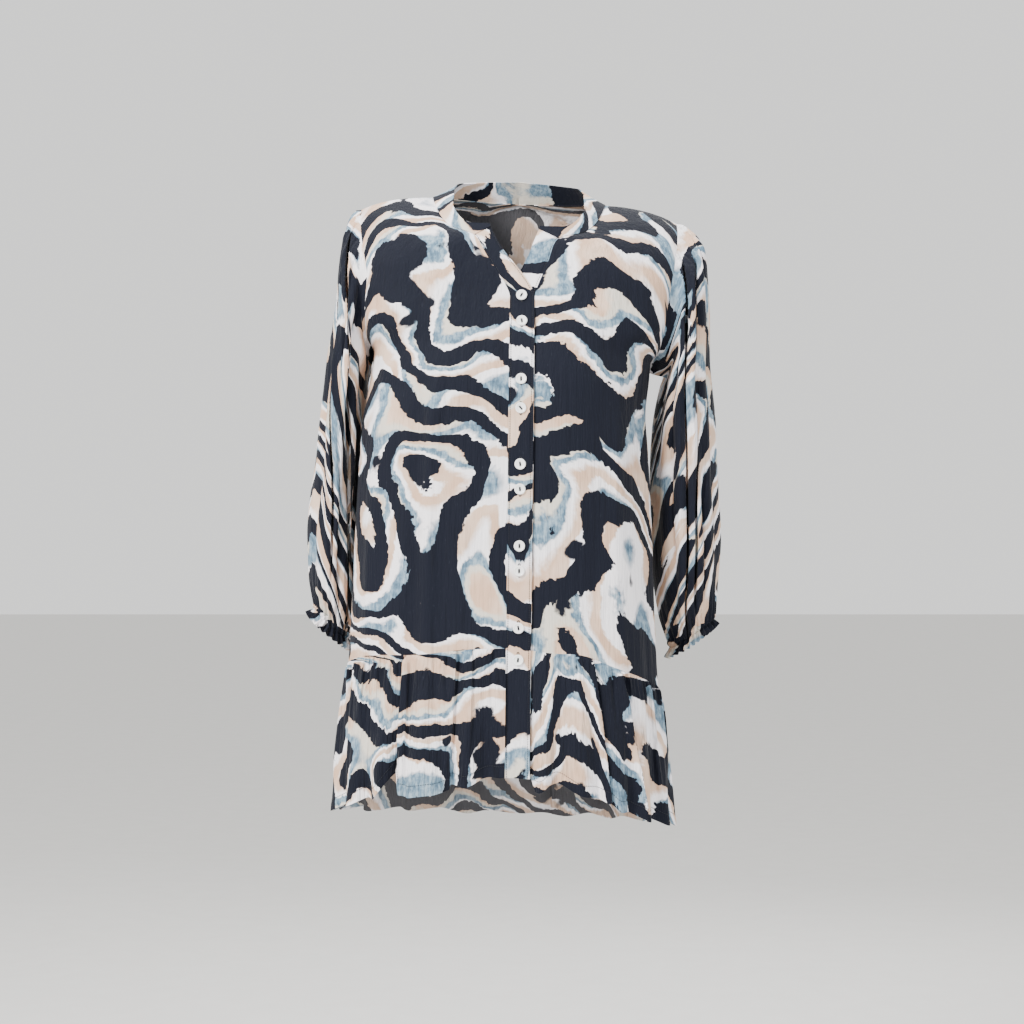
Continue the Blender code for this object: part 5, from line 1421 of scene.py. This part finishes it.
def make_buttons():
    face, strands, hole = button_shell(), thread_mesh(), buttonhole_mesh()
    grid = band_points(np.linspace(HEM_FRONT, COLLAR_CORNER, BAND_ROWS), [0.0, 0.5, 1.0], RIGHT)
    heights = [pair.top_z - drop for pair in BUTTON_PAIRS for drop in (0, pair.spacing)]
    for number, (height, degrees) in enumerate(zip(heights, BUTTON_TURNS), 1):
        node = "button_%d" % number
        low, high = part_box(node)
        row = int(np.argmin(np.abs(grid[:, 1, 2] - height)))
        up = grid[min(row + LOOK_ASIDE, BAND_ROWS - 1), 1] - grid[row - LOOK_ASIDE, 1]
        normal = np.cross(grid[row, 2] - grid[row, 0], up)
        normal *= FRONT * np.sign(normal[1]) / np.linalg.norm(normal)
        facing = Vector(normal).to_track_quat("Z", "Y")
        turned = facing @ Quaternion((0, 0, 1), math.radians(degrees))
        base = Vector(np.array((low + high) / 2) - normal * BUTTON_THICKNESS / 2)
        add_piece("sewn_" + node, face, "button", node, place=base, turn=turned)
        add_piece("sewn_%s_thread" % node, strands, "button", place=base, turn=turned)
        place = Vector(grid[row, 1] + normal * HOLE_LIFT)
        add_piece("buttonhole_%d" % number, hole, "band", place=place, turn=facing)


# Soft studio lamps round the garment, and the floor far below it
LAMPS = table("name place size power tint", [
    ("key", (-1.9, -2.2, 1.3), 1.1, 208, (1.0, 0.985, 0.96)),
    ("fill", (2.2, -2.3, 0.2), 2.0, 44, (0.95, 0.975, 1.0)),
    ("top", (0.0, 0.2, 1.9), 1.4, 52, (1.0, 1.0, 1.0)), ("back", (0.6, 2.6, 0.9), 2.0, 46, (1.0, 1.0, 1.0)),
])
LAMP_AIM = Vector((0, 0, -0.4))
FLOOR_HEIGHT = -1.45
FLOOR_SIZE = 40
WORLD_STRENGTH = 1.50
SENSOR = 36.0
FOCUS = 2167 / 1024
CAMERA_PLACE = (-0.0084, -2.6, -0.3828)


def add_light(row):
    """A square soft lamp aimed at the garment."""
    lamp = bpy.data.lights.new(row.name, "AREA")
    lamp.shape, lamp.size, lamp.energy, lamp.color = "SQUARE", row.size, row.power, row.tint
    light = bpy.data.objects.new(row.name, lamp)
    light.location = row.place
    light.rotation_euler = (LAMP_AIM - Vector(row.place)).to_track_quat("-Z", "Y").to_euler()
    bpy.context.scene.collection.objects.link(light)


def lit_stage():
    """Plain pale floor, soft studio light and the camera."""
    bpy.ops.mesh.primitive_plane_add(size=FLOOR_SIZE, location=(0, 0, FLOOR_HEIGHT))
    floor = bpy.context.object
    floor.name = "floor"
    floor.data.materials.append(plain("floor_pale", *FLOOR_PALE))
    world = bpy.data.worlds.new("studio")
    world.use_nodes = True
    background = world.node_tree.nodes["Background"]
    background.inputs["Color"].default_value = (*WORLD_PALE, 1)
    background.inputs["Strength"].default_value = WORLD_STRENGTH
    bpy.context.scene.world = world
    for row in LAMPS:
        add_light(row)
    lens = bpy.data.cameras.new("camera")
    lens.sensor_width, lens.lens, lens.clip_end = SENSOR, SENSOR * FOCUS, 50
    camera = bpy.data.objects.new("camera", lens)
    camera.location = CAMERA_PLACE
    camera.rotation_euler = (math.radians(90), 0, 0)
    bpy.context.scene.collection.objects.link(camera)
    bpy.context.scene.camera = camera


# Where each piece was cut from the printed cloth: offset in metres, turn of the pattern, and strength of its
# crinkle and of the shade painted into the crinkle creases
CUTS = table("name offset turn crinkle", [
    ("front_right", (0.3, 0.1, 0.0), 0.0, 0.55), ("front_left", (1.15, 0.42, 0.3), 0.2, 0.55),
    ("back", (2.2, 0.9, 0.6), -0.1, 0.55), ("sleeve_right", (2.75, 2.15, 0.75), 0.3, 0.7),
    ("sleeve_left", (5.62, 0.85, 1.35), -0.2, 0.7), ("ruffle_front_right", (5.1, 3.05, 1.5), -0.15, 1.0),
    ("ruffle_front_left", (6.2, 3.6, 1.8), 0.25, 1.0), ("ruffle_back", (7.05, 4.4, 2.1), 0.1, 1.0),
    ("band_over", (8.3, 5.2, 2.4), 0.05, 0.35), ("band_under", (9.15, 5.9, 2.7), 0.0, 0.35),
    ("collar", (10.2, 6.4, 3.0), 0.2, 0.35), ("cuff_right", (11.1, 7.2, 3.3), 0.3, 0.9),
    ("cuff_left", (12.05, 7.9, 3.6), 0.4, 0.9),
])
prints = {cut.name: printed_cloth("print_" + cut.name, *cut[1:]) for cut in CUTS}
wrong = {cut.name: printed_cloth("wrong_side_" + cut.name, *cut[1:], True) for cut in CUTS}
thread = plain("thread_navy", *THREAD_NAVY)
button_white = plain("button_white", *BUTTON_WHITE)

make_fronts()
make_back()
make_ruffles()
make_bands()
make_collar()
make_sleeves()
make_stitching()
make_buttons()

# Cut of each piece of cloth that shows: width and length in metres, its area, and how it is held
SHEETS = table("pieces width length area held", [
    ("bodice_front_right bodice_front_left", 0.25, 0.6, 0.118, "hung"),
    ("bodice_back", 0.47, 0.64, 0.265, "hung"),
    ("sleeve_shell_right sleeve_shell_left", 0.43, 0.48, 0.178, "hung"),
    ("cuff_shell_right cuff_shell_left", 0.235, 0.03, 0.0068, "gathered"),
    ("peplum_front_right peplum_front_left", 0.235, 0.195, 0.044, "gathered"),
    ("peplum_back", 0.56, 0.2, 0.107, "gathered"),
    ("neck_band", 0.52, 0.028, 0.0121, "stretched"),
    ("placket_over placket_under", 0.03, 0.65, 0.0187, "stretched"),
])

lit_stage()
